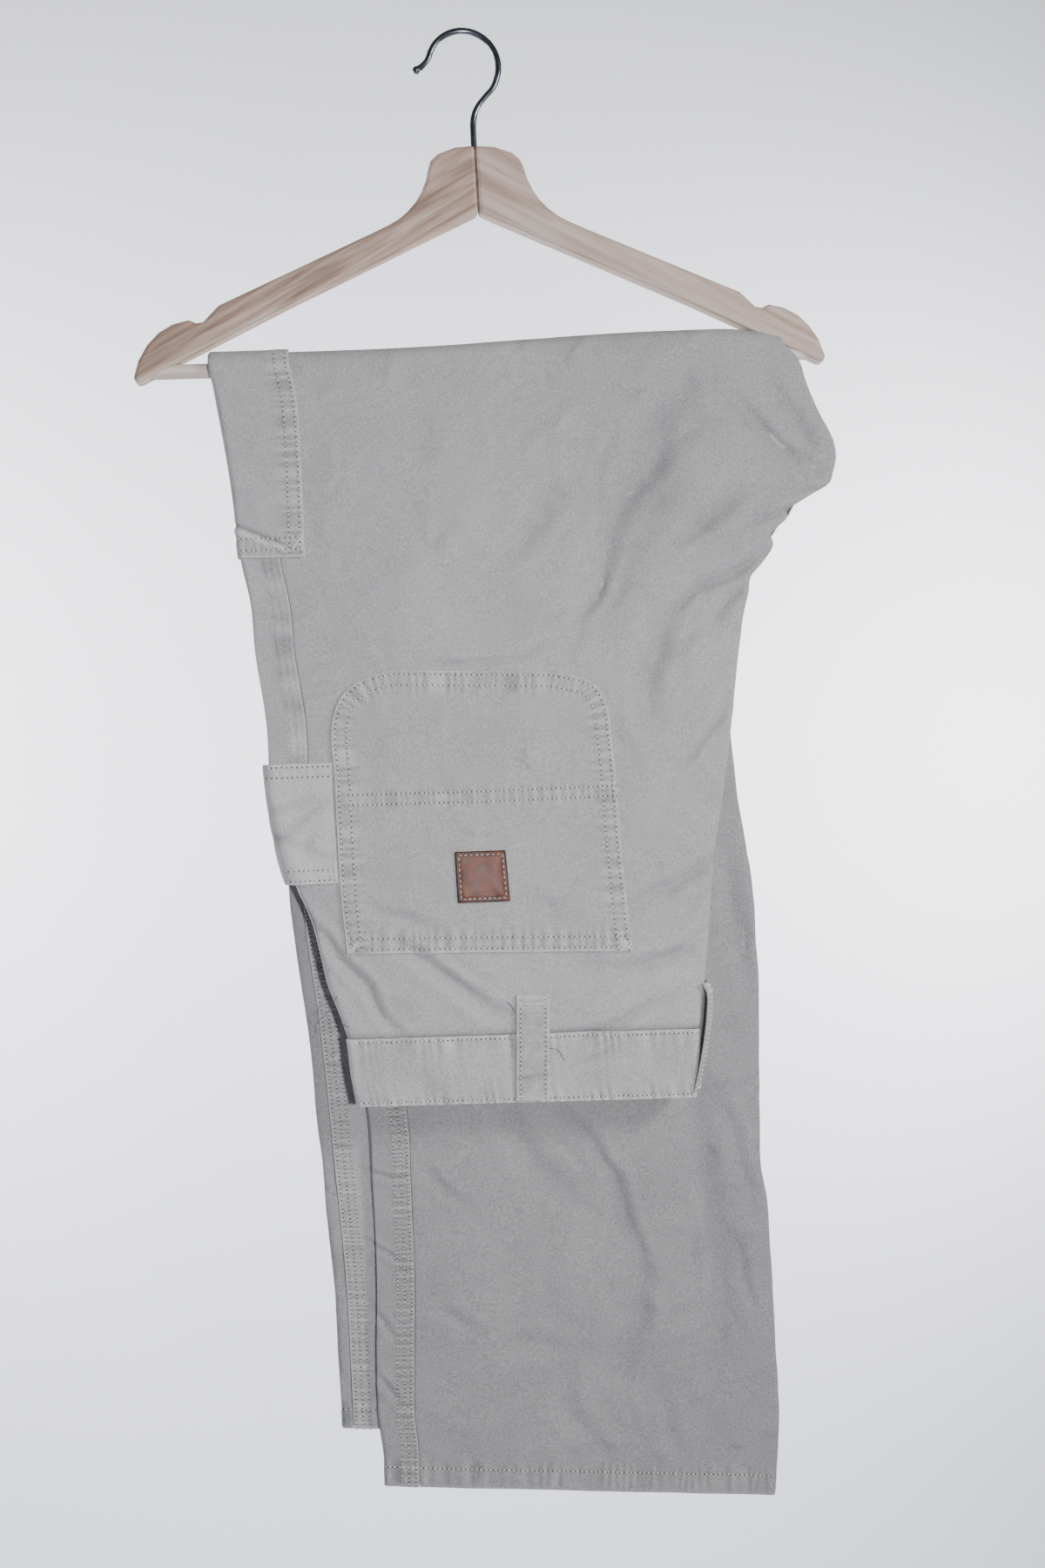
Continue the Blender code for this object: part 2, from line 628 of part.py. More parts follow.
def tool_pocket(collection):
    """A long pocket over the outseam and the side fold, from in front over the bar to the rear half."""
    low = CLOTH / 2 + LAY_GAP
    front = [Station(FRONT, "right", share) for share in reversed(FRONT.shares[1:9])]
    bends = [Station(FRONT, "right", 0.0, math.pi * step / BEND_STEPS) for step in range(BEND_STEPS + 1)]
    rear = [Station(REAR, "right", share) for share in REAR.shares[1:4]]
    rows = []
    start = Station(FRONT, "right", find_share("right", -138, -342))
    front = [start] + [station for station in front if station.left.z > start.left.z + 8]
    for station in front + bends + rear:
        edge = 41 + 8 * blend(-341, -222, station.left.z)
        walks = (-edge, -30.0, -18.0, -8.0, -station.quarter(), 0.0, station.quarter(), 10.0)
        rows.append((station, [(walk, low) for walk in walks]))
    return wrapped_piece("tool_pocket", rows, collection, "canvas")


def belt_loops(collection):
    """Straps that stand over the waistband."""
    over_band = DOUBLE_CLOTH / 2 - CLOTH / 2
    for loop in BELT_LOOPS:
        ends = [Strip(z, loop.x - LOOP_WIDTH / 2, loop.x + LOOP_WIDTH / 2) for z in (loop.top, loop.base)]
        laid_strip(f"belt_loop_{loop.name}", loop.layer, finer(ends, 3), 2, collection, "canvas_trim",
                   over_band, LOOP_THICKNESS)


def centre_back_loop(collection):
    """A flat strap that stands off the folded centre back seam, seen edge-on from the front."""
    outer = []
    inner = []
    for row in CENTRE_BACK_LOOP:
        station = Station(FRONT, "right", find_share("right", 150, row.z))
        apex = station.point(-station.flat_walk(station.width), DOUBLE_CLOTH / 2 + LAY_GAP + row.lift)
        rows = ([], [])
        for part in (-1.0, -0.5, 0.0, 0.5, 1.0):
            side = LOOP_WIDTH / 2 * part
            near = Vector((apex.x - LOOP_WRAP * part * part, apex.y + side, row.z))
            rows[0].append(near + Vector((LOOP_THICKNESS, 0.0, 0.0)))
            rows[1].append(near)
        outer.append(rows[0])
        inner.append(rows[1])
    return wall("belt_loop_centre_back", outer, inner, collection, "canvas_trim")


def fly(collection):
    """Facing and zip of the fly, plain, inside the folded fronts."""
    laid_strip("fly_facing", "left_front", FLY_FACING, 2, collection, "canvas_trim", FLY_LIFT)
    laid_strip("fly_zip", "right_front", FLY_ZIP, 1, collection, "brass", FLY_LIFT)


def button(collection):
    """Flat metal waist button on the band beside the centre front."""
    lift = DOUBLE_CLOTH / 2 + LAY_GAP + BUTTON_THICKNESS / 2
    centre = surface_point("right_front", *BUTTON_PLACE, lift)
    mesh = bmesh.new()
    turn = Matrix.Rotation(math.pi / 2, 4, "X")
    place = Matrix.Translation(centre * MM) @ turn
    bmesh.ops.create_cone(mesh, cap_ends=True, segments=20, radius1=BUTTON_RADIUS * MM,
                          radius2=BUTTON_RADIUS * MM, depth=BUTTON_THICKNESS * MM, matrix=place)
    bmesh.ops.recalc_face_normals(mesh, faces=mesh.faces)
    data = bpy.data.meshes.new("waist_button")
    mesh.to_mesh(data)
    mesh.free()
    return add_object("waist_button", data, collection, "brass")


# ---------------------------------------------------------------- the hanger
def arc(centre, radius, start, end, steps):
    """Points on an arc, angles in degrees."""
    points = []
    for step in range(steps + 1):
        angle = math.radians(start + (end - start) * step / steps)
        points.append((centre[0] + radius * math.cos(angle), centre[1] + radius * math.sin(angle)))
    return points


def arm_outline():
    """The right arm seen from the front, from the top of the joint round to its lower end."""
    head = [(0.2, 0.0), (13.0, -1.0), (24.0, -5.0), (29.0, -9.5)]
    neck = arc((78.0, -6.0), 48.0, 190.0, 246.0, 6)
    notch = [(69.0, -54.6), (168.0, -98.0), (173.5, -103.5), (178.0, -108.0), (182.5, -108.8),
             (187.0, -106.6)]
    tip = [(197.0, -109.0), (206.0, -114.0), (213.5, -121.5), (219.5, -131.0), (223.5, -143.0),
           (220.0, -146.0)]
    under = [(192.0, -132.0), (135.0, -104.5), (0.2, -43.0)]
    return head + neck + notch + tip + under


def hanger_cutters(collection):
    """Round sockets for the bar's ends and the hook's stem."""
    cutters = []
    bores = (("bar_socket", hanger_point(0, -BAR_DROP), AXIS, BAR_RADIUS, BAR_HALF_LENGTH),
             ("stem_socket", hanger_point(0, 0), ACROSS, WIRE_RADIUS, HOOK_SOCKET_DEPTH))
    for name, middle, direction, hole_radius, hole_half in bores:
        radius = hole_radius + SEAM_GAP
        half_length = hole_half + SOCKET_END_GAP
        mesh = bmesh.new()
        turn = direction.to_track_quat("Z", "Y").to_matrix().to_4x4()
        bmesh.ops.create_cone(mesh, cap_ends=True, segments=24, radius1=radius * MM, radius2=radius * MM,
                              depth=2 * half_length * MM, matrix=Matrix.Translation(middle * MM) @ turn)
        bmesh.ops.recalc_face_normals(mesh, faces=mesh.faces)
        data = bpy.data.meshes.new(name)
        mesh.to_mesh(data)
        mesh.free()
        cutter = add_object(name, data, collection)
        cutter.hide_render = True
        cutter.display_type = "WIRE"
        cutters.append(cutter)
    return cutters


def hanger_arm(side, cutters, collection):
    """One arm: its outline as a board with rounded edges, and the sockets cut in."""
    sign = 1.0 if side == "right" else -1.0
    half = HANGER_THICKNESS / 2
    mesh = bmesh.new()
    points = [hanger_point(sign * along, up, half) * MM for along, up in arm_outline()]
    face = mesh.faces.new([mesh.verts.new(point) for point in points])
    extruded = bmesh.ops.extrude_face_region(mesh, geom=[face])
    moved = [item for item in extruded["geom"] if isinstance(item, bmesh.types.BMVert)]
    bmesh.ops.translate(mesh, verts=moved, vec=(0.0, -HANGER_THICKNESS * MM, 0.0))
    bmesh.ops.recalc_face_normals(mesh, faces=mesh.faces)
    data = bpy.data.meshes.new(f"hanger_arm_{side}")
    mesh.to_mesh(data)
    mesh.free()
    arm = add_object(f"hanger_arm_{side}", data, collection, "beech")
    bevel = arm.modifiers.new("rounded edges", "BEVEL")
    bevel.width = HANGER_ROUNDING * MM
    bevel.segments = 2
    bevel.limit_method = "ANGLE"
    bevel.angle_limit = math.radians(50)
    for cutter in cutters:
        cut = arm.modifiers.new(cutter.name, "BOOLEAN")
        cut.operation = "DIFFERENCE"
        cut.object = cutter
    return arm


def wire_curve(name, points, radius, collection, finish, resolution):
    curve = bpy.data.curves.new(name, "CURVE")
    curve.dimensions = "3D"
    spline = curve.splines.new("POLY")
    spline.points.add(len(points) - 1)
    for target, point in zip(spline.points, points):
        target.co = (*(Vector(point) * MM), 1.0)
    curve.bevel_depth = radius * MM
    curve.bevel_resolution = resolution
    curve.use_fill_caps = True
    return add_object(name, curve, collection, finish)


def hanger_bar(collection):
    ends = [hanger_point(sign * BAR_HALF_LENGTH, -BAR_DROP) for sign in (-1.0, 1.0)]
    return wire_curve("hanger_bar", ends, BAR_RADIUS, collection, "beech", 6)


def hanger_hook(collection):
    """Wire hook: stem, throat, round crown and a turned-out tip with a small ball."""
    stem_foot = hanger_point(0, -HOOK_SOCKET_DEPTH)
    stem_top = hanger_point(0, 9.0)
    crown = [(x, 0.0, z) for x, z in arc((2.0, -20.6), 22.6, -18.0, 160.0, 12)]
    throat = [(8.6, 0.0, -54.0), (11.0, 0.0, -47.0), (16.0, 0.0, -40.0), (21.2, 0.0, -33.5)]
    tip = [(-20.6, 0.0, -17.0), (-23.6, 0.0, -21.2), (-28.0, 0.0, -24.8)]
    points = [tuple(stem_foot), tuple(stem_top)] + throat + crown + tip
    wire = wire_curve("hanger_hook", points, WIRE_RADIUS, collection, "wire", 2)
    depsgraph = bpy.context.evaluated_depsgraph_get()
    data = bpy.data.meshes.new_from_object(wire.evaluated_get(depsgraph))
    bpy.data.objects.remove(wire)
    mesh = bmesh.new()
    mesh.from_mesh(data)
    bmesh.ops.remove_doubles(mesh, verts=mesh.verts, dist=0.00001)
    mesh.to_mesh(data)
    mesh.free()
    hook = bpy.data.objects.new("hanger_hook", data)
    collection.objects.link(hook)
    return hook, Vector(tip[-1])


def hook_ball(hook, centre, cutters):
    """The tip's ball, joined to the wire."""
    mesh = bmesh.new()
    bmesh.ops.create_uvsphere(mesh, u_segments=12, v_segments=8, radius=HOOK_BALL_RADIUS * MM,
                              matrix=Matrix.Translation(centre * MM))
    data = bpy.data.meshes.new("hook_ball")
    mesh.to_mesh(data)
    mesh.free()
    ball = add_object("hook_ball", data, cutters)
    ball.hide_render = True
    ball.display_type = "WIRE"
    join = hook.modifiers.new("ball", "BOOLEAN")
    join.operation = "UNION"
    join.object = ball


def clear_scene():
    for shape in list(bpy.data.objects):
        bpy.data.objects.remove(shape, do_unlink=True)


def new_collection(name):
    collection = bpy.data.collections.new(name)
    bpy.context.scene.collection.children.link(collection)
    return collection


def build():
    clear_scene()
    garment = new_collection("carpenter_pants_on_hanger")
    cutters = new_collection("cutters")
    sockets = hanger_cutters(cutters)
    for side in ("left", "right"):
        hanger_arm(side, sockets, garment)
    hanger_bar(garment)
    hook, tip = hanger_hook(garment)
    hook_ball(hook, tip, cutters)
    for leg in ("right", "left"):
        for panel in ("back", "front"):
            cloth_panel(leg, panel, garment)
    waistband(garment)
    back_pockets(garment)
    pocket_patch(garment)
    hammer_loop(garment)
    tool_pocket(garment)
    belt_loops(garment)
    centre_back_loop(garment)
    fly(garment)
    button(garment)


build()
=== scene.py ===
"""Looks of carpenter pants folded lengthwise over a wooden hanger: canvas, sewing, leather, wood and wire.

Lengths are in millimetres and in the frame's own axes: X to the right, Y away from the front, Z up, from the
inside of the hook's crown. Each cloth piece is a thin closed shell on the form of the solid that it replaces.
"""

import math
import random
from collections import namedtuple
from functools import partial

import bmesh
import bpy
import numpy as np
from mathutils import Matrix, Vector


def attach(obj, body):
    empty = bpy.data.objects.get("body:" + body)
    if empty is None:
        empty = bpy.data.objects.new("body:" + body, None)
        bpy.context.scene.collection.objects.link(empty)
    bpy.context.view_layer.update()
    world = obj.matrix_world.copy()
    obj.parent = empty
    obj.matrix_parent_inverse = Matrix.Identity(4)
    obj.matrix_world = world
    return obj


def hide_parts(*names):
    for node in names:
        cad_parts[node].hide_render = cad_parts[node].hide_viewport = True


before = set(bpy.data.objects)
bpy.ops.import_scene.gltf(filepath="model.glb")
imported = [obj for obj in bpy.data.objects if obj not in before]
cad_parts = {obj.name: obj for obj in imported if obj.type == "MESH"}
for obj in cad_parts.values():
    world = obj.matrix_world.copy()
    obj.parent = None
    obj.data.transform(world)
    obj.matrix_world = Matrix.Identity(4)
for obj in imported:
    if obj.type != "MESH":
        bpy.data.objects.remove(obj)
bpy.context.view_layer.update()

MM = 0.001

# ---------------------------------------------------------------- sizes, in millimetres
CANVAS = 0.7               # one layer of washed cotton canvas
BAND_CANVAS = 1.7          # the waistband, cut double
STRAP_CANVAS = 1.1         # the hammer loop, cut double
LOOP_CANVAS = 1.3          # the belt loops, cut double
LEATHER = 1.2
FLY_TAPE = 0.8
SOLID_CANVAS = 1.0         # walls of the solids, whose places the shells keep
SOLID_BAND = 2.2
SOLID_STRAP = 1.4
SEAM_GAP = 0.3             # clear gap between two pieces at a seam
LAY_GAP = 0.45             # clear gap below a piece that lies on a panel
LAID_LIFT = SOLID_CANVAS + LAY_GAP   # between the middles of a panel and of a layer that lies on it

HANGER_TILT = math.radians(3.5)      # left end lower than the right one
HANGER_TOP = (9.0, -73.0)            # x and z where the two arms meet at the top
ARM_SLOPE = math.radians(29)
BAR_DROP = 138.0                     # from the top of the arms to the bar's axis
BEND_STEP = math.pi / 12             # between two sections of cloth round the bar
WIRE_RADIUS = 2.0
HOOK_BALL_RADIUS = 2.7
HOOK_BALL_FLATNESS = 0.94
HOOK_FOOT = (-24, -8, 9)             # heights of the wire in the wood, from the top of the arms
HOOK_THROAT = ((8.6, -54), (11, -47), (16, -40), (21.2, -33.5))
CROWN_CENTRE = (2.0, -20.6)
CROWN_RADIUS = 22.6
CROWN_START = -18                    # degrees
CROWN_TURN = 178
CROWN_POINTS = 10
HOOK_END = ((-20.6, -17.0), (-23.6, -21.2), (-28.0, -24.8))

WAISTBAND_HEIGHT = 43.0
FRONT_DIP = 30.0                     # the waist is cut lower at the centre front
FRONT_DIP_SHARES = (0.6, 1.0)        # shares of the front half over which the dip comes in
CENTRE_FRONT_INSET = 8.0             # fronts end inside the fold of the backs
EDGE_ROUNDING = 3.5                  # how far a seamed edge rounds in from its outline, at most
EDGE_SLENDERNESS = 1.2               # the rounding's reach for each unit of its rise
LEAST_ROUNDING = 0.6
FOLDS_START = (0.02, 0.16)           # shares over which the creases deepen below the bar
CROTCH_SHARES = (0.144, 0.231)       # shares over which the two legs join in the hip
WAIST_SHARE = 0.48                   # the rear half shows from the front below this share of its drop
LEGS_HEM = {"left": -953, "right": -915}
REAR_TOP = -199
HEM_HEIGHT = 18.0                    # the part above the hem that has closer sections
HEM_STEP = 1.4

# towards the crotch the cloth stands off the bar, and its corner hangs past the end of the fold
BAR_SLACK = 6.7                      # how far the outermost layer stands above its place on the bar
LAYER_SLACK = {"left_back": 0.1, "left_front": 0.4, "right_front": 0.7, "right_back": 1.0}
SLACK_ACROSS = (-75.0, 150.0)        # x over which the slack grows
SLACK_DOWN = (-26.0, 2.0)            # heights over the bar's axis between which it grows
CORNER_HANG = 11.0
CORNER_HANG_FADE = 13.0

# broad creases are soft folds, and fine ones are drawn deeper and narrower than they measure
BROAD_WIDTH = 12
BROAD_DEPTH = 0.85
FINE_DEPTH = 1.45
FINE_WIDTH = 0.8
FINE_SHARPNESS = 1.45                # a round trough has 2 and a pointed one 1
CREASE_STRAY = 2.5                   # creases don't run straight: they stray this far over the next size
CREASE_STRAY_SIZE = 46
LEAST_ROOM = 0.05                    # what a layer may move where it has no room

# shade is -1 where darkest and 1 where palest: worn paler on raised parts, with painted shade in grooves,
# hollows and crease troughs, a painted highlight on turned edges, and painted light or shade by place
# painted shade in the troughs of fine creases, and their ridges worn paler
CREASE_SHADE_AND_WEAR = 0.09                   # for each millimetre of a fine crease
CREASE_WEAR_LIMIT = 0.4
# raised pucker bars worn paler, with painted shade in the hollows and grooves between them
BAR_WEAR_AND_SHADE = 1.3                       # for each millimetre of a raised bar between two rows
# turned edges paler from wear and from a painted highlight on their rounding
EDGE_WEAR_AND_HIGHLIGHT = 0.75                     # on turned edges
EDGE_WEAR_AND_HIGHLIGHT_WIDTH = 1.1
# painted light on the shown strip and the waist, painted shade on the crotch, the lower legs and towards
# their inseam
STRIP_PAINTED_LIGHT = 0.06                    # the strip of the right front panel that shows behind
WAIST_PAINTED_LIGHT = 0.14
CROTCH_PAINTED_SHADE = -0.24
LOW_LEG_PAINTED_SHADE = -0.36
INSEAM_PAINTED_SHADE = -0.08
LAID_TONE = 0.02
BAND_TONE = 0.14
TOOL_POCKET_TONE = 0.12
STRAP_TONE = 0.56

# rows of stitches, from the nearest edge
SEAM_ROWS = (2.0, 6.4, 10.8)
HEM_ROW = 12.5
POCKET_ROWS = (2.3, 9.2)
POCKET_SEAM_ROW = 3.2
BAND_ROWS = (2.6, 40.6)              # both from the waistband's seam
TOOL_POCKET_ROWS = (2.3, 9.2)
TOOL_HEM_ROWS = (4.7, 12.0)
STRAP_ROWS = (2.2, 8.6)
PATCH_ROW = 2.4
LOOP_ROW = 2.6
LOOP_TOP_TACKS = (2.2, 5.6)
LOOP_BASE_TACK = 2.4
GROOVE_WIDTH = 0.9                   # of the groove that a row presses into the cloth

# pitches of the stitches in each place
PITCH = {"outseam": 2.7, "belt loop": 2.9, "hem": 3.0, "waistband": 3.0, "pocket seam": 3.0,
         "hammer loop": 3.1, "patch": 3.1, "tool pocket": 3.2, "back pocket": 3.3}
STITCH_COVER = 0.66                  # the share of a pitch that the thread covers
PATCH_STITCH_COVER = 0.7
STITCH_RADIUS = 0.35                 # of a thread 0.6 mm thick, drawn a little fuller so that it still shows
PATCH_STITCH_RADIUS = 0.4
SEAM_STITCH_RADIUS = 0.42            # of the seam across the pocket, sewn with a thicker thread
STITCH_SIDES = 5
STITCH_UNEVENNESS = (0.1, 0.12)      # of a stitch's start and of its length
# dark discs of painted shadow, one at each needle hole
HOLE_SHADOW_RADIUS = 0.56
HOLE_SHADOW_SIDES = 6
HOLE_SHADOW_LIFT = 0.06                     # above the cloth's face
LOOSE_THREAD_RADIUS = 0.2

LOOP_WIDTH = 21.0
LOOP_WRAP = 1.8                      # how far the centre back loop's rear edge bends round the fold
LOOP_TURN = 5.2                      # how far its front edge turns in
PATCH_COUNT = 34                     # rows and columns of the patch, 1 mm apart
FLY_LIFT = -3.6                      # under the fronts' inner faces

# the camera stands square to the waist and is turned a little to the right
CAMERA_PLACE = (-64.0, -960.0, -482.3)
CAMERA_TURN = 6.2                    # degrees
CAMERA_LENS = 34.32
CAMERA_SENSOR = 36.0
BACKDROP_PLACE = 3.4                 # metres behind the hanger
FLOOR_HEIGHT = -3.0                  # metres
STAGE_SIZE = 14.0                    # metres
SURROUND_STRENGTH = 0.2

# ---------------------------------------------------------------- short tables, in millimetres
Edge = namedtuple("Edge", "z x")
Stack = namedtuple("Stack", "drop left_back left_front right_front right_back")
Seam = namedtuple("Seam", "z inset gap")
Crease = namedtuple("Crease", "depth width lip lean points")
Strip = namedtuple("Strip", "z left right")
Lift = namedtuple("Lift", "z lift")
Loop = namedtuple("Loop", "name layer x top base")
Plan = namedtuple("Plan", "leg panel front_step rear_step low_step fine fine_step columns spread seed")
Sewn = namedtuple("Sewn", "groove pucker pitch reach")
StitchRing = namedtuple("StitchRing", "share radius sink")
Cut = namedtuple("Cut", "piece width length area held under")
Lamp = namedtuple("Lamp", "name place aim size power")


def table(kind, rows):
    return [kind(*row) for row in rows]


# outlines of the waist half, which hangs in front of the bar
RIGHT_FOLD_FRONT = table(Edge, (
    (-222, -157), (-241, -152), (-275, -146), (-309, -141), (-341, -138), (-371, -132), (-404, -130),
    (-445, -124), (-488, -119), (-520, -112), (-545, -104), (-567, -94), (-605, -84), (-640, -72),
    (-663, -69), (-684, -65)))
LEFT_FOLD_FRONT = table(Edge, (
    (-222, -139), (-275, -130), (-341, -124), (-445, -112), (-545, -96), (-605, -78), (-640, -68),
    (-684, -61)))
BACK_SEAM_FRONT = table(Edge, (
    (-199, 198), (-207, 214), (-218, 222), (-240, 233), (-256, 242), (-268, 245), (-278, 243), (-286, 240),
    (-293, 229), (-303, 213.5), (-309, 212.5), (-319, 202), (-327, 203.5), (-338, 196), (-347, 188),
    (-358, 186), (-387, 181), (-417, 177), (-465, 172), (-530, 163), (-591, 158), (-639, 153), (-681, 150)))

# outlines of the lower legs, which hang behind the bar
LEFT_LEG_FOLD = table(Edge, (
    (-222, -139), (-300, -130), (-400, -114), (-500, -100), (-600, -80), (-693, -61), (-741, -58),
    (-798, -55), (-884, -53), (-911, -49), (-934, -48)))
LEFT_LEG_INSEAM = table(Edge, (
    (-199, 198), (-260, 194), (-340, 184), (-420, 178), (-482, 183), (-545, 193), (-613, 198),
    (-734, 200), (-762, 204), (-821, 208), (-910, 212), (-953, 209)))
RIGHT_LEG_FOLD = table(Edge, (
    (-222, -157), (-260, -150), (-350, -134), (-450, -119), (-520, -111), (-567, -108), (-638, -98),
    (-742, -87), (-800, -81), (-845, -78), (-901, -75)))
RIGHT_LEG_INSEAM = table(Edge, (
    (-199, 198), (-260, 191), (-350, 180), (-450, 172), (-550, 171), (-700, 172), (-800, 176), (-915, 182)))

# how far each layer's middle lies from the plane of the bar, by the drop below the bar
FRONT_STACK = table(Stack, (
    (0, 5.7, 7.1, 8.5, 9.9), (30, 5.8, 8.0, 9.7, 12.0), (80, 6.0, 9.2, 11.3, 14.6),
    (250, 7.0, 10.6, 13.8, 17.6), (420, 9.5, 13.6, 19.6, 23.6), (490, 10.2, 14.4, 20.6, 24.8)))
REAR_STACK = table(Stack, (
    (0, 5.7, 7.1, 8.5, 9.9), (30, 5.7, 7.9, 9.6, 11.9), (100, 5.7, 8.8, 10.8, 13.9),
    (400, 5.8, 9.3, 11.6, 15.2), (760, 6.0, 9.6, 12.0, 15.8)))

# how far the outseam lies in from the side fold: on the back panel, or on the front one where it is negative
OUTSEAM_FRONT = table(Seam, (
    (-222, 30, 0.3), (-341, 25, 0.3), (-469, 26, 0.3), (-520, 8, 0.3), (-556, 1.2, 0.3), (-684, 1.2, 0.3)))
LEFT_OUTSEAM_FRONT = table(Seam, ((-222, 22, 0.3), (-400, 18, 0.3), (-684, 8, 0.3)))
LEFT_OUTSEAM_REAR = table(Seam, (
    (-222, 22, 0.3), (-400, 27, 0.3), (-693, 28, 0.3), (-853, 26, 0.3), (-935, 23, 0.3)))
RIGHT_OUTSEAM_REAR = table(Seam, (
    (-222, 30, 0.3), (-300, 16, 0.8), (-350, 4, 1.5), (-400, -4, 1.5), (-450, -9, 0.8), (-569, -9, 0.3),
    (-746, -9, 0.3), (-901, -8, 0.3)))

# creases that all layers of a half share: a trough where depth is negative, with lips of that share of it
FRONT_CREASES = table(Crease, (
    # broad folds
    (-4.0, 15, 0.0, 0.0, ((176, -224), (232, -272))),
    (2.5, 16, 0.0, 0.0, ((196, -205), (226, -236))),
    (-4.0, 18, 0.1, 0.4, ((138, -240), (112, -292), (88, -360))),
    (3.0, 17, 0.0, 0.0, ((168, -250), (140, -300), (122, -345))),
    (-2.6, 14, 0.2, 0.3, ((196, -330), (160, -356), (128, -400))),
    (2.2, 16, 0.0, 0.0, ((150, -395), (124, -450), (118, -480))),
    (2.0, 34, 0.0, 0.0, ((-60, -250), (60, -262))),
    (-2.2, 12, 0.2, 0.0, ((-98, -560), (-70, -598), (-50, -625))),
    (-2.2, 14, 0.2, 0.0, ((163, -528), (138, -546), (106, -562))),
    (1.8, 30, 0.0, 0.0, ((20, -250), (-40, -370))),
    # around the crotch
    (-3.0, 4.2, 0.1, 0.3, ((172, -222), (195, -246), (209, -262), (225, -271), (233, -283))),
    (-2.0, 3.6, 0.1, 0.2, ((162, -224), (186, -249), (202, -266), (212, -273))),
    (-1.6, 3.4, 0.1, 0.0, ((211, -261), (218, -275), (223, -290))),
    (-2.4, 6.0, 0.1, 0.4, ((203, -210), (221, -247), (231, -268))),
    (-1.6, 3.4, 0.5, 0.0, ((222, -300), (204, -307), (186, -312))),
    (-1.5, 3.4, 0.5, 0.0, ((240, -292), (222, -291), (206, -286))),
    (-2.2, 7.0, 0.4, 0.3, ((188, -290), (155, -314), (132, -333))),
    (-2.6, 4.0, 0.3, 0.3, ((206, -327), (175, -347), (149, -355), (131, -375))),
    (-1.4, 5.0, 0.4, 0.3, ((196, -338), (172, -360), (160, -388))),
    (-1.0, 3.2, 0.5, 0.0, ((190, -352), (182, -372), (184, -392))),
    # down the seat
    (-2.2, 8.5, 0.25, 0.5, ((139, -236), (127, -272), (110, -294), (99, -319), (90, -344), (84, -372))),
    (-1.6, 4.0, 0.6, 0.3, ((94, -342), (87, -361), (70, -382))),
    (-1.8, 9.0, 0.3, 0.3, ((172, -206), (144, -233), (127, -250), (108, -266))),
    (-1.0, 3.6, 0.6, 0.3, ((100, -238), (91, -270), (87, -295), (90, -326))),
    (-0.9, 4.0, 0.5, 0.0, ((72, -234), (46, -255), (30, -273))),
    (-0.6, 3.6, 0.5, 0.0, ((64, -224), (67, -236), (66, -246))),
    (-1.6, 8.0, 0.4, 0.4, ((63, -286), (51, -315), (38, -332), (18, -341))),
    (-2.2, 8.0, 0.25, 0.4, ((147, -356), (128, -385), (120, -419), (123, -444))),
    (-1.3, 4.0, 0.5, 0.3, ((183, -416), (155, -452), (132, -486))),
    (-1.1, 3.0, 0.6, 0.0, ((64, -390), (38, -400), (10, -404), (-32, -408))),
    (-0.9, 4.0, 0.4, 0.0, ((79, -373), (66, -401))),
    # between the pocket and the waistband
    (-1.6, 6.0, 0.5, 0.0, ((-66, -559), (-36, -570), (-8, -582))),
    (-2.3, 5.0, 0.6, 0.2, ((-44, -580), (-17, -599), (7, -616), (32, -630))),
    (-2.2, 3.8, 0.6, 0.2, ((-100, -562), (-74, -591), (-58, -610), (-47, -629), (-34, -643))),
    (-1.9, 5.0, 0.6, 0.2, ((172, -525), (138, -546), (100, -565))),
    (-1.5, 7.0, 0.5, 0.0, ((148, -590), (110, -599), (74, -595))),
    (-1.7, 4.0, 0.5, 0.0, ((148, -609), (99, -634), (54, -641))),
    (-1.2, 6.0, 0.4, 0.0, ((158, -576), (135, -593), (110, -604))),
    (-1.0, 4.0, 0.4, 0.0, ((70, -664), (86, -658), (98, -653))),
    (-1.0, 4.5, 0.4, 0.0, ((80, -677), (106, -671), (137, -658))),
    (-0.7, 5.0, 0.4, 0.0, ((-20, -506), (6, -518), (30, -520))),
    (-0.9, 5.0, 0.4, 0.0, ((30, -566), (60, -556), (84, -540)))))
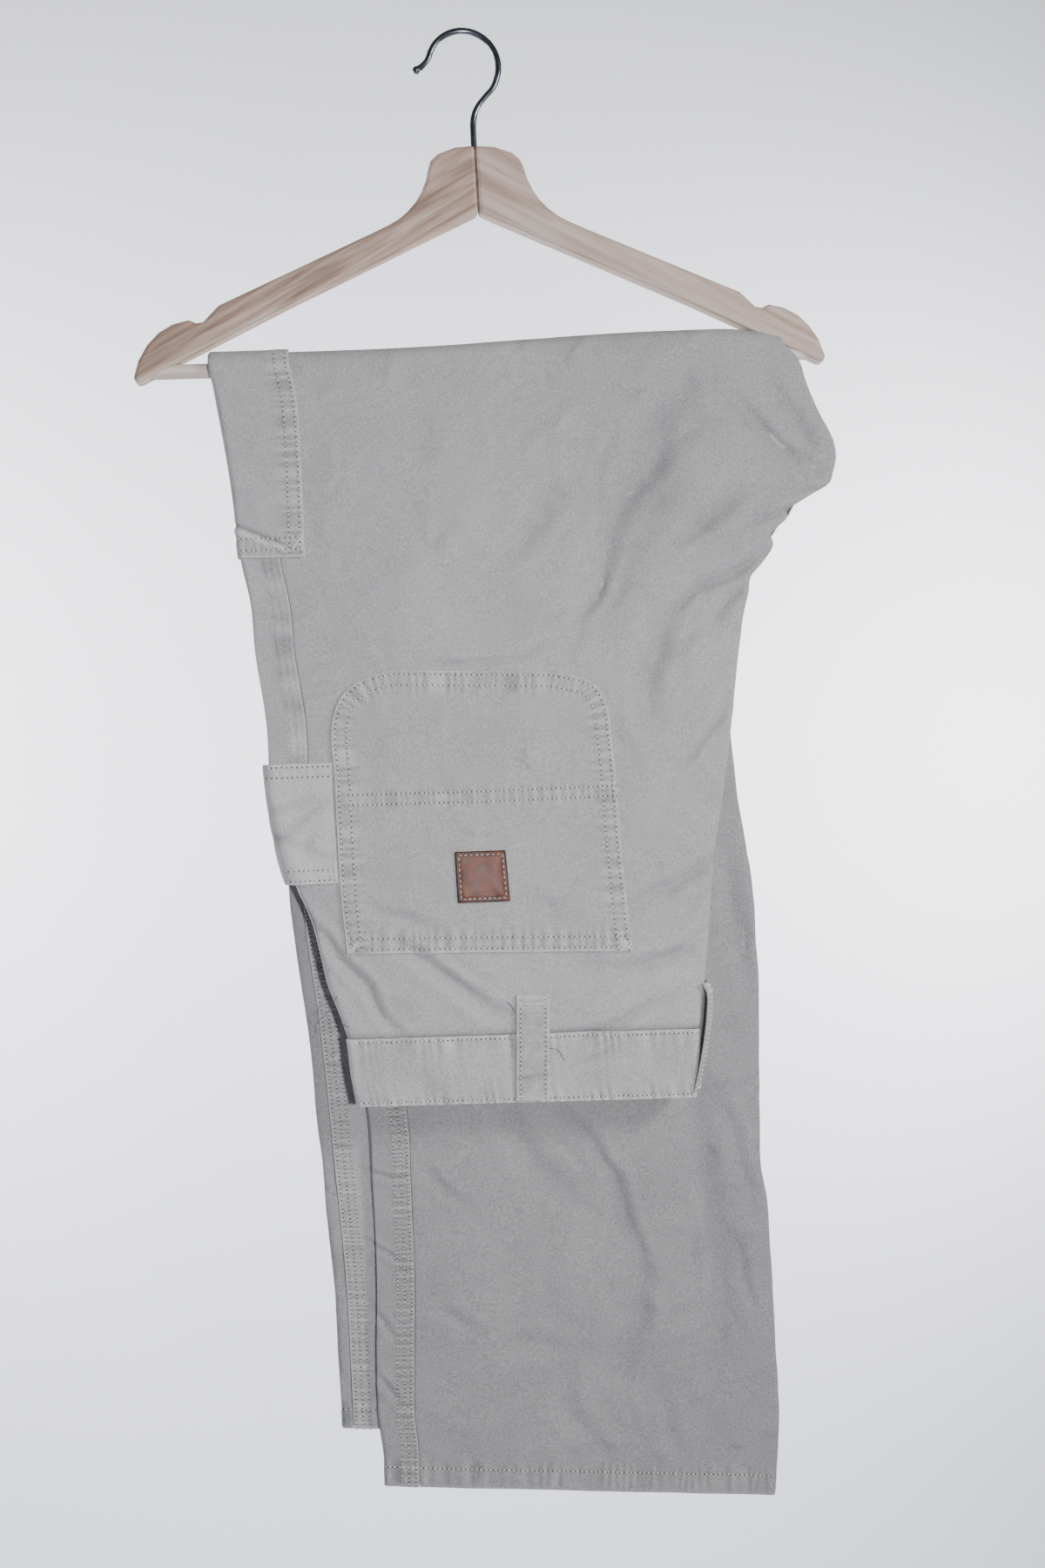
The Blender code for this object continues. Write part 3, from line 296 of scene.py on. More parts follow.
REAR_CREASES = table(Crease, (
    # broad folds
    (-4.0, 16, 0.0, 0.3, ((48, -690), (96, -770))),
    (-2.0, 18, 0.0, 0.0, ((96, -770), (104, -900))),
    (-3.0, 15, 0.0, 0.0, ((160, -690), (184, -800))),
    (2.6, 18, 0.0, 0.0, ((130, -700), (140, -860))),
    (2.0, 26, 0.0, 0.0, ((0, -720), (20, -900))),
    (2.0, 30, 0.0, 0.0, ((-20, -420), (20, -560))),
    (-2.5, 24, 0.0, 0.0, ((120, -400), (90, -540))),
    # below the waistband
    (-1.5, 8.0, 0.4, 0.4, ((20, -670), (47, -723), (64, -743), (88, -766))),
    (-1.7, 6.0, 0.4, 0.5, ((60, -682), (92, -721), (101, -739), (113, -771), (121, -800))),
    (-1.1, 8.0, 0.4, 0.3, ((122, -780), (118, -836), (102, -884))),
    (-1.9, 11.5, 0.3, -0.4, ((154, -655), (163, -735), (170, -764), (176, -821), (168, -892))),
    (-0.9, 4.6, 0.4, 0.3, ((182, -782), (197, -830))),
    (-1.2, 6.0, 0.4, 0.3, ((175, -688), (189, -741), (195, -776))),
    (-1.1, 7.0, 0.4, 0.2, ((64, -872), (87, -909), (104, -930))),
    (-0.9, 4.0, 0.5, 0.0, ((-26, -729), (4, -756))),
    (-0.8, 4.0, 0.5, 0.0, ((-12, -823), (16, -835))),
    (-0.8, 6.0, 0.4, 0.0, ((130, -878), (148, -926))),
    (-0.9, 7.0, 0.4, 0.0, ((12, -861), (41, -845), (76, -851))),
    # short ones beside the outseam
    (-0.9, 2.6, 0.5, 0.0, ((-68, -731), (-38, -738))),
    (-0.9, 2.6, 0.5, 0.0, ((-64, -775), (-38, -791))),
    (-0.8, 2.6, 0.5, 0.0, ((-58, -818), (-41, -844))),
    (-0.9, 2.6, 0.5, 0.0, ((-54, -862), (-36, -882))),
    # above, mostly behind the waist half
    (-1.6, 7.0, 0.4, 0.2, ((176, -522), (186, -574), (196, -626))),
    (-1.6, 9.0, 0.3, 0.0, ((-60, -330), (20, -352), (90, -420))),
    (-2.0, 7.0, 0.4, 0.3, ((158, -250), (110, -330), (94, -394))),
    (-1.5, 6.0, 0.4, 0.0, ((54, -512), (110, -580), (126, -646))),
    (-1.3, 6.0, 0.4, 0.0, ((-34, -594), (14, -656)))))

BACK_POCKET = table(Strip, (
    (-411, -44, 56), (-415, -59, 77), (-423, -72, 88), (-434, -79, 93), (-450, -82, 95), (-479, -80, 98),
    (-520, -78, 101), (-552, -76, 104), (-588, -72, 108)))
HAMMER_LOOP = table(Strip, ((-470, 8, 41), (-495, 8, 38), (-520, 8, 34), (-545, 8, 28)))
BELT_LOOPS = table(Loop, (
    ("right_back", "right_back", 44, -615, -681), ("left_back", "left_back", 44, -615, -681),
    ("right_front", "right_front", 28, -600, -664), ("left_front", "left_front", 54, -597, -660)))
CENTRE_BACK_LOOP = table(Lift, (
    (-609, -0.7), (-616, 3.4), (-630, 4.6), (-646, 4.2), (-664, 2.2), (-678, -0.1)))
PATCH_CORNERS = ((-5, -525), (27, -524), (30, -556), (-3, -557))
FLY_FACING = table(Strip, (
    (-455, 125, 155), (-490, 122, 151), (-525, 119, 147), (-560, 116, 143), (-595, 113, 139)))
FLY_ZIP = table(Strip, (
    (-455, 138, 150), (-490, 134, 146), (-525, 130, 142), (-560, 126, 138), (-595, 122, 134)))

# a panel's grid: steps down its front half, its rear half and the part of that which shows, then the fine
# columns by the outseam and the others, which the spread sets closer towards one side
PLANS = {
    "right_back": Plan("right", "back", 2.2, 5.0, 5.0, 20, 2.0, 108, -0.4, 11),
    "left_back": Plan("left", "back", 7.0, 6.0, 2.3, 20, 2.0, 96, -0.3, 21),
    "right_front": Plan("right", "front", 7.0, 4.4, 1.4, 24, 1.2, 24, 0.5, 31),
    "left_front": Plan("left", "front", 7.0, 4.4, 1.4, 24, 1.2, 24, 0.5, 41),
}
OUTSEAM_SEWN_BELOW = {"right_front": -300, "left_front": -203}

# how deep rows press in, and how high, long and wide the puckers beside them are
OUTSEAM_SEWN = Sewn(0.25, 0.42, 4.3, 3.0)
POCKET_SEWN = Sewn(0.22, 0.42, 6.6, 9.0)
TOOL_POCKET_SEWN = Sewn(0.2, 0.5, 6.6, 11.0)
TOOL_HEM_SEWN = Sewn(0.2, 0.26, 6.4, 5.0)
STRAP_SEWN = Sewn(0.2, 0.16, 6.2, 4.0)

# a stitch dips into the cloth at both ends
STITCH_RINGS = table(StitchRing, ((0.0, 0.45, 0.8), (0.18, 1.0, 0.0), (0.82, 1.0, 0.0), (1.0, 0.45, 0.8)))

POCKET_SEAM = ((-74, -492.5), (20, -490), (100, -486.5))
POCKET_TACKS = ((1.5, 1.2), (7.5, 7.0)), ((-1.5, 1.2), (-8.0, 7.5))      # ends, from the mouth's two corners
TOOL_POCKET_START = (-138.0, -342.0)
TOOL_POCKET_END = -305.0
STRAP_CREASES = ((34.0, 0.7, 0.35), (55.0, -0.5, 0.3), (24.0, 0.3, 0.25))    # middle, slant and depth

LOOSE_THREADS = (                    # places in the frame, where threads have come loose
    ((-78, -26, -614), (-83, -27, -622), (-86, -25.5, -626), (-91, -25, -631), (-92, -24, -638),
     (-97, -23, -643)),
    ((-71, -27.5, -650), (-74, -29, -650.5), (-77.5, -29, -654)),
    ((-71, -27.5, -633), (-76, -29, -631), (-80, -28.5, -632.5)),
    ((33, -30, -626), (31, -31, -622), (28, -30.5, -619)),
    ((54, -30, -648), (59, -31, -649), (64, -30.2, -656)))

LAMPS = table(Lamp, (                # places, aims and sizes in metres, power in watts
    ("lamp by the camera", (0.1, -1.04, -0.52), (0.0, 0.0, -0.52), 0.05, 8.9),
    ("soft lamp", (1.15, -0.95, 0.15), (0.0, 0.0, -0.5), 0.4, 14.5),
    ("backdrop lamp", (-2.2, 1.6, -0.35), (0.0, BACKDROP_PLACE, -0.35), 1.6, 205.0),
    ("backdrop lamp", (2.2, 1.6, -0.35), (0.0, BACKDROP_PLACE, -0.35), 1.6, 205.0)))

# what each cloth was cut to where it shows, in metres and square metres
CUTS = table(Cut, (
    ("right_back_panel_cloth", 0.385, 1.170, 0.340, "folded", "right_front_panel_cloth"),
    ("right_front_panel_cloth", 0.420, 1.170, 0.345, "folded", "left_front_panel_cloth"),
    ("left_front_panel_cloth", 0.420, 1.210, 0.365, "folded", "left_back_panel_cloth"),
    ("left_back_panel_cloth", 0.370, 1.210, 0.320, "folded", "hanger_bar"),
    ("right_back_pocket_cloth", 0.190, 0.178, 0.0312, "laid", "right_back_panel_cloth"),
    ("left_back_pocket_cloth", 0.190, 0.178, 0.0310, "laid", "left_back_panel_cloth"),
    ("waistband_cloth", 0.905, 0.044, 0.0384, "folded", "left_back_panel_cloth"),
    ("tool_pocket_cloth", 0.062, 0.270, 0.0155, "folded", "right_back_panel_cloth"),
    ("hammer_loop_cloth", 0.063, 0.076, 0.0045, "folded", "right_back_panel_cloth"),
    ("leather_patch", 0.034, 0.034, 0.0011, "laid", "right_back_pocket_cloth"),
    ("belt_loop_right_back_cloth", 0.022, 0.070, 0.00147, "laid", "waistband_cloth"),
    ("belt_loop_left_back_cloth", 0.022, 0.070, 0.00147, "laid", "waistband_cloth"),
    ("belt_loop_right_front_cloth", 0.022, 0.068, 0.00143, "laid", "waistband_cloth"),
    ("belt_loop_left_front_cloth", 0.022, 0.068, 0.00141, "laid", "waistband_cloth"),
    ("belt_loop_centre_back_cloth", 0.024, 0.074, 0.00167, "folded", "waistband_cloth"),
    ("fly_facing_strip", 0.030, 0.141, 0.0041, "laid", "left_front_panel_cloth"),
    ("fly_zip_strip", 0.0135, 0.141, 0.0018, "laid", "right_front_panel_cloth")))

ALL_SIDES = ("first row", "last row", "first column", "last column")
SHARES = np.linspace(0.0, 1.2, 241)          # of the front half, past the waistband's free edge
AXIS = np.array((math.cos(HANGER_TILT), 0.0, math.sin(HANGER_TILT)))
ACROSS = np.array((-math.sin(HANGER_TILT), 0.0, math.cos(HANGER_TILT)))
TOWARDS = np.array((0.0, -1.0, 0.0))


# ---------------------------------------------------------------- curves and waves
def smooth_value(rows, at, column):
    """Value of a column on the smooth curve through the rows, whose first column falls or rises steadily."""
    keys = [row[0] for row in rows]
    values = [getattr(row, column) for row in rows]
    sign = 1.0 if keys[-1] > keys[0] else -1.0
    at = min(max(at * sign, keys[0] * sign), keys[-1] * sign) * sign
    index = 0
    while index < len(keys) - 2 and (keys[index + 1] - at) * sign < 0:
        index += 1
    span = keys[index + 1] - keys[index]
    part = (at - keys[index]) / span

    def slope(i):
        low = max(i - 1, 0)
        high = min(i + 1, len(keys) - 1)
        return (values[high] - values[low]) / (keys[high] - keys[low])

    start = slope(index) * span
    end = slope(index + 1) * span
    rise = values[index + 1] - values[index]
    bend = start + end - 2 * rise
    return values[index] + part * (start + part * (3 * rise - 2 * start - end + part * bend))


def blend(low, high, value):
    """0 below low, 1 above high and smooth between them."""
    part = np.clip((value - low) / (high - low), 0.0, 1.0)
    return part * part * (3 - 2 * part)


def fade(low, high, value):
    """1 below low, 0 above high and smooth between them."""
    return 1.0 - blend(low, high, value)


def bell(distance, width):
    """1 where the distance is nought, falling off smoothly about as far as the width."""
    return np.exp(-(distance / width) ** 2)


def steps(start, end, size):
    """Values from start to end, evenly spaced about size apart."""
    count = max(int(round(abs(end - start) / size)), 1)
    return list(np.linspace(start, end, count + 1))


def rumple(x, z, size, seed, waves=14):
    """Soft unevenness from -1 to 1, about as wide as size, from waves in many directions."""
    draw = random.Random(seed)
    total = np.zeros_like(x)
    for _ in range(waves):
        turn = draw.uniform(0, math.pi)
        length = size * draw.uniform(0.7, 1.7)
        phase = draw.uniform(0, 2 * math.pi)
        total += np.sin((x * math.cos(turn) + z * math.sin(turn)) * 2 * math.pi / length + phase)
    return total / math.sqrt(2 * waves)


def wobble(values, seed):
    """A slow uneven wave from -1 to 1 along a seam."""
    draw = random.Random(seed)
    waves = (np.sin(values * 2 * math.pi / draw.uniform(14, 60) + draw.uniform(0, 6.3)) for _ in range(5))
    return sum(waves) / 2.5


def puckers(arc, pitch, seed):
    """An uneven wave from -1 to 1 along a row of stitches, each about a pitch long."""
    return np.sin(2 * math.pi * (arc / pitch + 0.6 * wobble(arc, seed)))


def lengths_along(places):
    return np.concatenate(([0.0], np.cumsum(np.linalg.norm(np.diff(places, axis=0), axis=1))))


def values_at(marks, arc, values):
    return np.stack([np.interp(marks, arc, column) for column in values.T], axis=1)


def unit(vectors):
    return vectors / np.maximum(np.linalg.norm(vectors, axis=1, keepdims=True), 1e-9)


def path_measure(path, x, z):
    """Distance of places from a path, how far along it and to its left they lie, and its whole length."""
    nearest = np.full_like(x, np.inf)
    arc = np.zeros_like(x)
    aside = np.zeros_like(x)
    before = 0.0
    for a, b in zip(path, path[1:]):
        run = b - a
        length = float(np.linalg.norm(run))
        part = np.clip(((x - a[0]) * run[0] + (z - a[1]) * run[1]) / length ** 2, 0.0, 1.0)
        off_x = x - a[0] - part * run[0]
        off_z = z - a[1] - part * run[1]
        distance = np.hypot(off_x, off_z)
        closer = distance < nearest
        nearest = np.where(closer, distance, nearest)
        arc = np.where(closer, before + part * length, arc)
        aside = np.where(closer, (run[0] * off_z - run[1] * off_x) / length, aside)
        before += length
    return nearest, arc, aside, before


def crease_field(creases, x, z):
    """Shift towards the front from a list of creases, each fine one fading out at both of its ends.

    A crease with lean is steep on the side that lies to the left of its direction and gentle on the other."""
    x, z = (x + CREASE_STRAY * rumple(x, z, CREASE_STRAY_SIZE, 5),
            z + CREASE_STRAY * rumple(x, z, CREASE_STRAY_SIZE, 6))
    total = np.zeros_like(x)
    for crease in creases:
        nearest, arc, aside, length = path_measure(np.array(crease.points, float), x, z)
        tilt = np.tanh(aside / crease.width)
        lean = np.where(tilt > 0, 1 - 0.5 * crease.lean * tilt, 1 - 0.9 * crease.lean * tilt)
        if crease.width >= BROAD_WIDTH:
            height = crease.depth * BROAD_DEPTH
            width, sharpness = crease.width * lean, 2.0
        else:
            height = crease.depth * np.sin(np.pi * (arc / length)) ** 0.7 * FINE_DEPTH
            width, sharpness = FINE_WIDTH * crease.width * lean, FINE_SHARPNESS
        trough = np.exp(-(nearest / width) ** sharpness)
        lips = np.exp(-((nearest / width - 1.9) / 0.9) ** 2)
        total += height * (trough - crease.lip * lips)
    return total


# ---------------------------------------------------------------- the form of the two halves
def hanger_point(along, up, depth=0.0):
    """A point of the hanger's own plane, from the top of the joint between its arms."""
    point = AXIS * along + ACROSS * up
    return np.array((HANGER_TOP[0] + point[0], depth, HANGER_TOP[1] + point[2]))


def bar_height(x):
    middle = hanger_point(0, -BAR_DROP)
    return middle[2] + (x - middle[0]) * math.tan(HANGER_TILT)


class Half:
    """One hanging half: its outlines for each leg, its outseams, its layers and its creases."""

    def __init__(self, side, folds, seams, outseams, stack, creases):
        self.side = side
        self.folds = folds
        self.seams = seams
        self.outseams = outseams
        self.stack = stack
        self.creases = creases

    def last(self, rows):
        """Height where the panels end: the lower of the two hems, or the waist seam above the band."""
        if self.side < 0:
            return LEFT_LEG_FOLD[-1].z if rows in (LEFT_LEG_FOLD, RIGHT_LEG_FOLD) else LEFT_LEG_INSEAM[-1].z
        return rows[-1].z + WAISTBAND_HEIGHT

    def section(self, leg, share):
        """Left and right end of a leg's section, share 0 at the bar and 1 at the last section."""
        ends = []
        for rows in (self.folds[leg], self.seams[leg]):
            start = bar_height(rows[0].x)
            z = start + share * (self.last(rows) - start)
            ends.append(np.array((smooth_value(rows, z, "x"), 0.0, z)))
        return ends

    def drop(self):
        return bar_height(0) - self.last(self.seams["left"])

    def layer(self, name, share):
        return smooth_value(self.stack, share * self.drop(), name)

    def relief(self, share, x, z):
        """Shift of all layers towards the front."""
        return crease_field(self.creases, x, z) * blend(*FOLDS_START, share)


FRONT = Half(1, {"right": RIGHT_FOLD_FRONT, "left": LEFT_FOLD_FRONT},
             {"right": BACK_SEAM_FRONT, "left": BACK_SEAM_FRONT},
             {"right": OUTSEAM_FRONT, "left": LEFT_OUTSEAM_FRONT}, FRONT_STACK, FRONT_CREASES)
REAR = Half(-1, {"right": RIGHT_LEG_FOLD, "left": LEFT_LEG_FOLD},
            {"right": RIGHT_LEG_INSEAM, "left": LEFT_LEG_INSEAM},
            {"right": RIGHT_OUTSEAM_REAR, "left": LEFT_OUTSEAM_REAR}, REAR_STACK, REAR_CREASES)


class Section:
    """One section through a leg: where a walk along its cloth goes, and which way is outwards."""

    def __init__(self, half, leg, share, bend=None):
        self.half = half
        self.leg = leg
        self.share = share
        self.bend = bend
        self.left, self.right = half.section(leg, share)
        self.width = np.linalg.norm(self.right - self.left)
        self.back = half.layer(leg + "_back", share)
        self.front = half.layer(leg + "_front", share)
        self.radius = abs(self.back - self.front) / 2
        self.quarter = self.radius * math.pi / 2
        self.hip = 0.0
        if half is FRONT and bend is None:
            self.hip = float(blend(*CROTCH_SHARES, share))
        self.outseam = smooth_value(half.outseams[leg], self.left[2], "inset")
        self.gap = smooth_value(half.outseams[leg], self.left[2], "gap")

    def seam_start(self, panel):
        """The walk from the side fold to a panel's edge at the outseam."""
        return (self.outseam if panel == "back" else -self.outseam) + self.gap / 2

    def edge_target(self, panel):
        """Distance from the bar's plane where a panel meets its neighbour at the right edge."""
        other_leg = "left" if self.leg == "right" else "right"
        partner = self.half.layer(other_leg + "_" + panel, self.share)
        own = self.back if panel == "back" else self.front
        leg_seam = (self.back + self.front) / 2
        return leg_seam + ((own + partner) / 2 - leg_seam) * self.hip

    def reach(self, panel):
        return self.width - (CENTRE_FRONT_INSET * self.hip if panel == "front" else 0.0)

    def flat_walk(self, across):
        """The walk to a point that lies this far in from the side fold."""
        return across - self.radius + self.quarter

    def walk(self, positions):
        """Across and outward places and the outward direction at signed walks from the side fold.

        Negative walks go along the back panel's layer and positive ones along the front panel's."""
        back = positions < 0
        own = np.where(back, self.back, self.front)
        middle = (self.back + self.front) / 2
        side = np.where(own > middle, 1.0, -1.0)
        length = np.abs(positions)
        angle = np.minimum(length / self.radius, math.pi / 2)
        round_fold = length < self.quarter
        across = np.where(round_fold, self.radius * (1 - np.cos(angle)), length - self.quarter + self.radius)
        outward = np.where(round_fold, middle + side * self.radius * np.sin(angle), own)
        normal_x = np.where(round_fold, -np.cos(angle), 0.0)
        normal_y = np.where(round_fold, side * np.sin(angle), side)
        for panel, chosen in (("back", back), ("front", ~back)):
            layer = self.back if panel == "back" else self.front
            rise = self.edge_target(panel) - layer
            rounding = min(max(EDGE_SLENDERNESS * abs(rise), LEAST_ROUNDING), EDGE_ROUNDING)
            start = self.reach(panel) - rounding
            past = chosen & (across > start)
            turn = np.clip((across - start) / rounding, 0.0, 1.0) * math.pi / 2
            tangent_x = rounding * np.cos(turn) + 1e-6
            tangent_y = rise * np.sin(turn)
            size = np.hypot(tangent_x, tangent_y)
            normal_x = np.where(past, -tangent_y / size * side, normal_x)
            normal_y = np.where(past, tangent_x / size * side, normal_y)
            outward = np.where(past, layer + rise * (1 - np.cos(turn)), outward)
            across = np.where(past, start + rounding * np.sin(turn), across)
        return across, outward, normal_x, normal_y

    def away(self):
        if self.bend is not None:
            return TOWARDS * math.cos(self.bend) + ACROSS * math.sin(self.bend)
        return TOWARDS * self.half.side

    def slack(self, positions, x, z):
        """Towards the crotch the cloth stands off the bar, its outer layers most, and hangs past its end."""
        height = z - bar_height(x)
        order = np.where(positions < 0, LAYER_SLACK[self.leg + "_back"], LAYER_SLACK[self.leg + "_front"])
        rise = blend(*SLACK_ACROSS, x) * (1.0 - 0.35 * blend(170.0, 200.0, x)) * blend(*SLACK_DOWN, height)
        past = np.zeros_like(x)
        if self.half is FRONT and self.leg == "right":
            hang = np.exp(np.minimum(height, 0.0) / CORNER_HANG_FADE) * blend(140.0, 200.0, x)
            past = CORNER_HANG * hang * fade(0.4, 0.9, self.bend or 0.0)
        return np.stack((past, np.zeros_like(x), BAR_SLACK * order * rise), axis=-1)

    def points(self, positions, lift=0.0):
        """Places and outward directions, arrays of rows of three, with the shared creases."""
        positions = np.asarray(positions, float)
        across, outward, normal_x, normal_y = self.walk(positions)
        along = (self.right - self.left) / self.width
        away = self.away()
        normals = normal_x[:, None] * along + normal_y[:, None] * away
        places = self.left + across[:, None] * along + outward[:, None] * away
        places = places + normals * np.asarray(lift)[..., None]
        places = places + self.slack(positions, places[:, 0], places[:, 2])
        if self.bend is None:
            shift = self.half.relief(self.share, places[:, 0], places[:, 2])
            places = places + shift[:, None] * TOWARDS
        return places, normals


def over_the_bar(leg, front, rear):
    """Sections at shares of the front half, round the bar and at shares of the rear half."""
    return ([Section(FRONT, leg, share) for share in front]
            + [Section(FRONT, leg, 0.0, bend) for bend in steps(0.0, math.pi, BEND_STEP)]
            + [Section(REAR, leg, share) for share in rear])


def find_share(leg, x, z):
    """Share of the front half whose section passes through x, z, for arrays of places."""
    ends = np.array([np.concatenate(FRONT.section(leg, share)) for share in SHARES])
    columns = ends[:, (0, 2, 3, 5)].T
    low = np.zeros_like(x)
    high = np.full_like(x, SHARES[-1])
    for _ in range(24):
        share = (low + high) / 2
        left_x, left_z, right_x, right_z = (np.interp(share, SHARES, column) for column in columns)
        above = left_z + (right_z - left_z) * (x - left_x) / (right_x - left_x) > z
        low = np.where(above, share, low)
        high = np.where(above, high, share)
    return (low + high) / 2


def share_at(x, z):
    """The same share for one place of the right leg."""
    return float(find_share("right", np.array([x]), np.array([z]))[0])


# ---------------------------------------------------------------- cloth pieces
class Cloth:
    """A grid of places on a cloth's middle, with its outward directions and its flat measures."""

    def __init__(self, places, normals, across, along):
        self.places = places
        self.normals = normals
        self.across = across
        self.along = along
        self.shade = np.zeros(across.shape)
        self.face = 0.0           # from the middle to the outside face

    def raise_by(self, relief):
        self.places = self.places + self.normals * relief[..., None]

    def paint_wear_and_shade(self, tone, relief, sides=()):
        """Raised bars of a pucker and turned edges are washed paler, turned edges also get a painted
        highlight, and the grooves and hollows get painted shade, over a tone that can be painted light or
        shade.
        """
        shade = tone + relief * np.ones(self.across.shape)
        if sides:
            shade = shade + EDGE_WEAR_AND_HIGHLIGHT * bell(self.border_distance(sides), EDGE_WEAR_AND_HIGHLIGHT_WIDTH)
        self.shade = np.clip(shade, -1.0, 1.0)

    def border_distance(self, sides):
        """Distance of each place from the nearest of the named borders of the grid."""
        down = np.zeros(self.across.shape)
        down[1:] = np.cumsum(np.linalg.norm(np.diff(self.places, axis=0), axis=2), axis=0)
        right = np.zeros(self.across.shape)
        right[:, 1:] = np.cumsum(np.linalg.norm(np.diff(self.places, axis=1), axis=2), axis=1)
        measures = {"first row": down, "last row": down[-1:] - down, "first column": right,
                    "last column": right[:, -1:] - right}
        return np.minimum.reduce([measures[side] for side in sides])

    def row_at(self, measure):
        """The fractional row that lies this far from the first one."""
        depths = np.abs(self.along[:, 0] - self.along[0, 0])
        return np.interp(measure, depths, np.arange(len(depths)))

    def spot(self, row, column):
        """Places and outward directions at fractional rows and columns, and how high the face stands."""
        row, column = np.broadcast_arrays(np.asarray(row, float), np.asarray(column, float))
        row = np.clip(row, 0.0, self.across.shape[0] - 1.001)
        column = np.clip(column, 0.0, self.across.shape[1] - 1.001)
        r, c = row.astype(int), column.astype(int)
        u, v = (row - r)[:, None], (column - c)[:, None]

        def mixed(grid):
            upper = grid[r, c] * (1 - v) + grid[r, c + 1] * v
            return upper * (1 - u) + (grid[r + 1, c] * (1 - v) + grid[r + 1, c + 1] * v) * u

        return mixed(self.places), mixed(self.normals), self.face

    def spot_over(self, path):
        """The same over a path of x and z, on a cloth whose rows lie level."""
        heights = self.along[:, 0]
        row = np.interp(-path[:, 1], -heights, np.arange(len(heights)))
        first, last = (np.interp(row, np.arange(len(heights)), self.across[:, end]) for end in (0, -1))
        column = (path[:, 0] - first) / (last - first) * (self.across.shape[1] - 1)
        return self.spot(row, column)

    def smooth_normals(self):
        """Outward directions taken anew from the grid itself, pointing as they did."""
        fresh = np.cross(np.gradient(self.places, axis=0), np.gradient(self.places, axis=1))
        fresh /= np.maximum(np.linalg.norm(fresh, axis=2, keepdims=True), 1e-9)
        fresh *= np.sign((fresh * self.normals).sum(axis=2, keepdims=True) + 1e-12)
        self.normals = fresh


def stitched_grid(rows, walks, lifts):
    """A Cloth through sections: the walk along each of them, and how far it is lifted."""
    spots = [section.points(walk, lift) for section, walk, lift in zip(rows, walks, lifts)]
    places, normals = (np.array(part) for part in zip(*spots))
    between = np.linalg.norm(np.diff(places, axis=0), axis=2).mean(axis=1)
    along = np.concatenate(([0.0], np.cumsum(between)))
    across = np.array(walks)
    return Cloth(places, normals, across, np.repeat(along[:, None], across.shape[1], axis=1))


def deselect():
    for item in bpy.context.selected_objects:
        item.select_set(False)


def choose(piece, others=()):
    """Select a piece, which becomes the active one, and perhaps others."""
    deselect()
    for item in (*others, piece):
        item.select_set(True)
    bpy.context.view_layer.objects.active = piece


def new_object(name, data, *finishes):
    """An object in the scene for a mesh, a lamp or the camera, with the materials of a mesh."""
    item = bpy.data.objects.new(name, data)
    bpy.context.scene.collection.objects.link(item)
    for finish in finishes:
        data.materials.append(finish)
    return item


def soft_edges(piece):
    piece.data.shade_smooth()
    piece.data.set_sharp_from_angle(angle=math.radians(50))


def shell(name, cloth, thickness, finish, edge=0.25):
    """The cloth as a closed shell with softened edges, whose UV map holds its flat measures in metres."""
    rows, columns = cloth.across.shape
    mesh = bmesh.new()
    bmesh.ops.create_grid(mesh, x_segments=columns - 1, y_segments=rows - 1, size=1)
    mesh.verts.ensure_lookup_table()
    shade = mesh.verts.layers.float.new("shade")
    for vert, place, value in zip(mesh.verts, cloth.places.reshape(-1, 3) * MM, cloth.shade.reshape(-1)):
        vert.co = place
        vert[shade] = value
    measures = mesh.loops.layers.uv.new("flat")
    across = cloth.across.reshape(-1) * MM
    along = cloth.along.reshape(-1) * MM
    for face in mesh.faces:
        for loop in face.loops:
            loop[measures].uv = (across[loop.vert.index], along[loop.vert.index])
    mesh.faces.ensure_lookup_table()
    mesh.normal_update()
    middle = (rows // 2) * (columns - 1) + columns // 2
    wanted = cloth.normals[rows // 2, columns // 2]
    if mesh.faces[middle].normal.dot(Vector(wanted)) < 0:
        bmesh.ops.reverse_faces(mesh, faces=mesh.faces)
    data = bpy.data.meshes.new(name)
    mesh.to_mesh(data)
    mesh.free()
    piece = new_object(name, data, finish)
    thicken = piece.modifiers.new("two faces", "SOLIDIFY")
    thicken.thickness = thickness * MM
    thicken.offset = 0.0
    soften = piece.modifiers.new("soft edge", "BEVEL")
    soften.width = edge * MM
    soften.segments = 2
    soften.limit_method = "ANGLE"
    soften.angle_limit = math.radians(55)
    choose(piece)
    for modifier in list(piece.modifiers):
        bpy.ops.object.modifier_apply(modifier=modifier.name)
    soft_edges(piece)
    cloth.face = thickness / 2
    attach(piece, "root")
    return piece


# ---------------------------------------------------------------- the leg panels
def leg_sections(plan):
    """Sections of a leg from the waist seam, over the bar, to the hem, in the plan's steps."""
    front = steps(1.0, 0.0, plan.front_step / FRONT.drop())[:-1]
    hem = (LEGS_HEM[plan.leg] - REAR_TOP) / (LEFT_LEG_INSEAM[-1].z - REAR_TOP)
    hem_start = hem - HEM_HEIGHT / REAR.drop()
    rear = steps(0.0, WAIST_SHARE, plan.rear_step / REAR.drop())[1:]
    rear += steps(WAIST_SHARE, hem_start, plan.low_step / REAR.drop())[1:]
    rear += steps(hem_start, hem, HEM_STEP / REAR.drop())[1:]
    return over_the_bar(plan.leg, front, rear)


def dip(section, across):
    """How far the fronts are drawn up towards the centre front, near the waist."""
    if section.half is REAR or section.bend is not None:
        return 0.0
    return FRONT_DIP * (across / section.width) ** 2 * blend(*FRONT_DIP_SHARES, section.share)


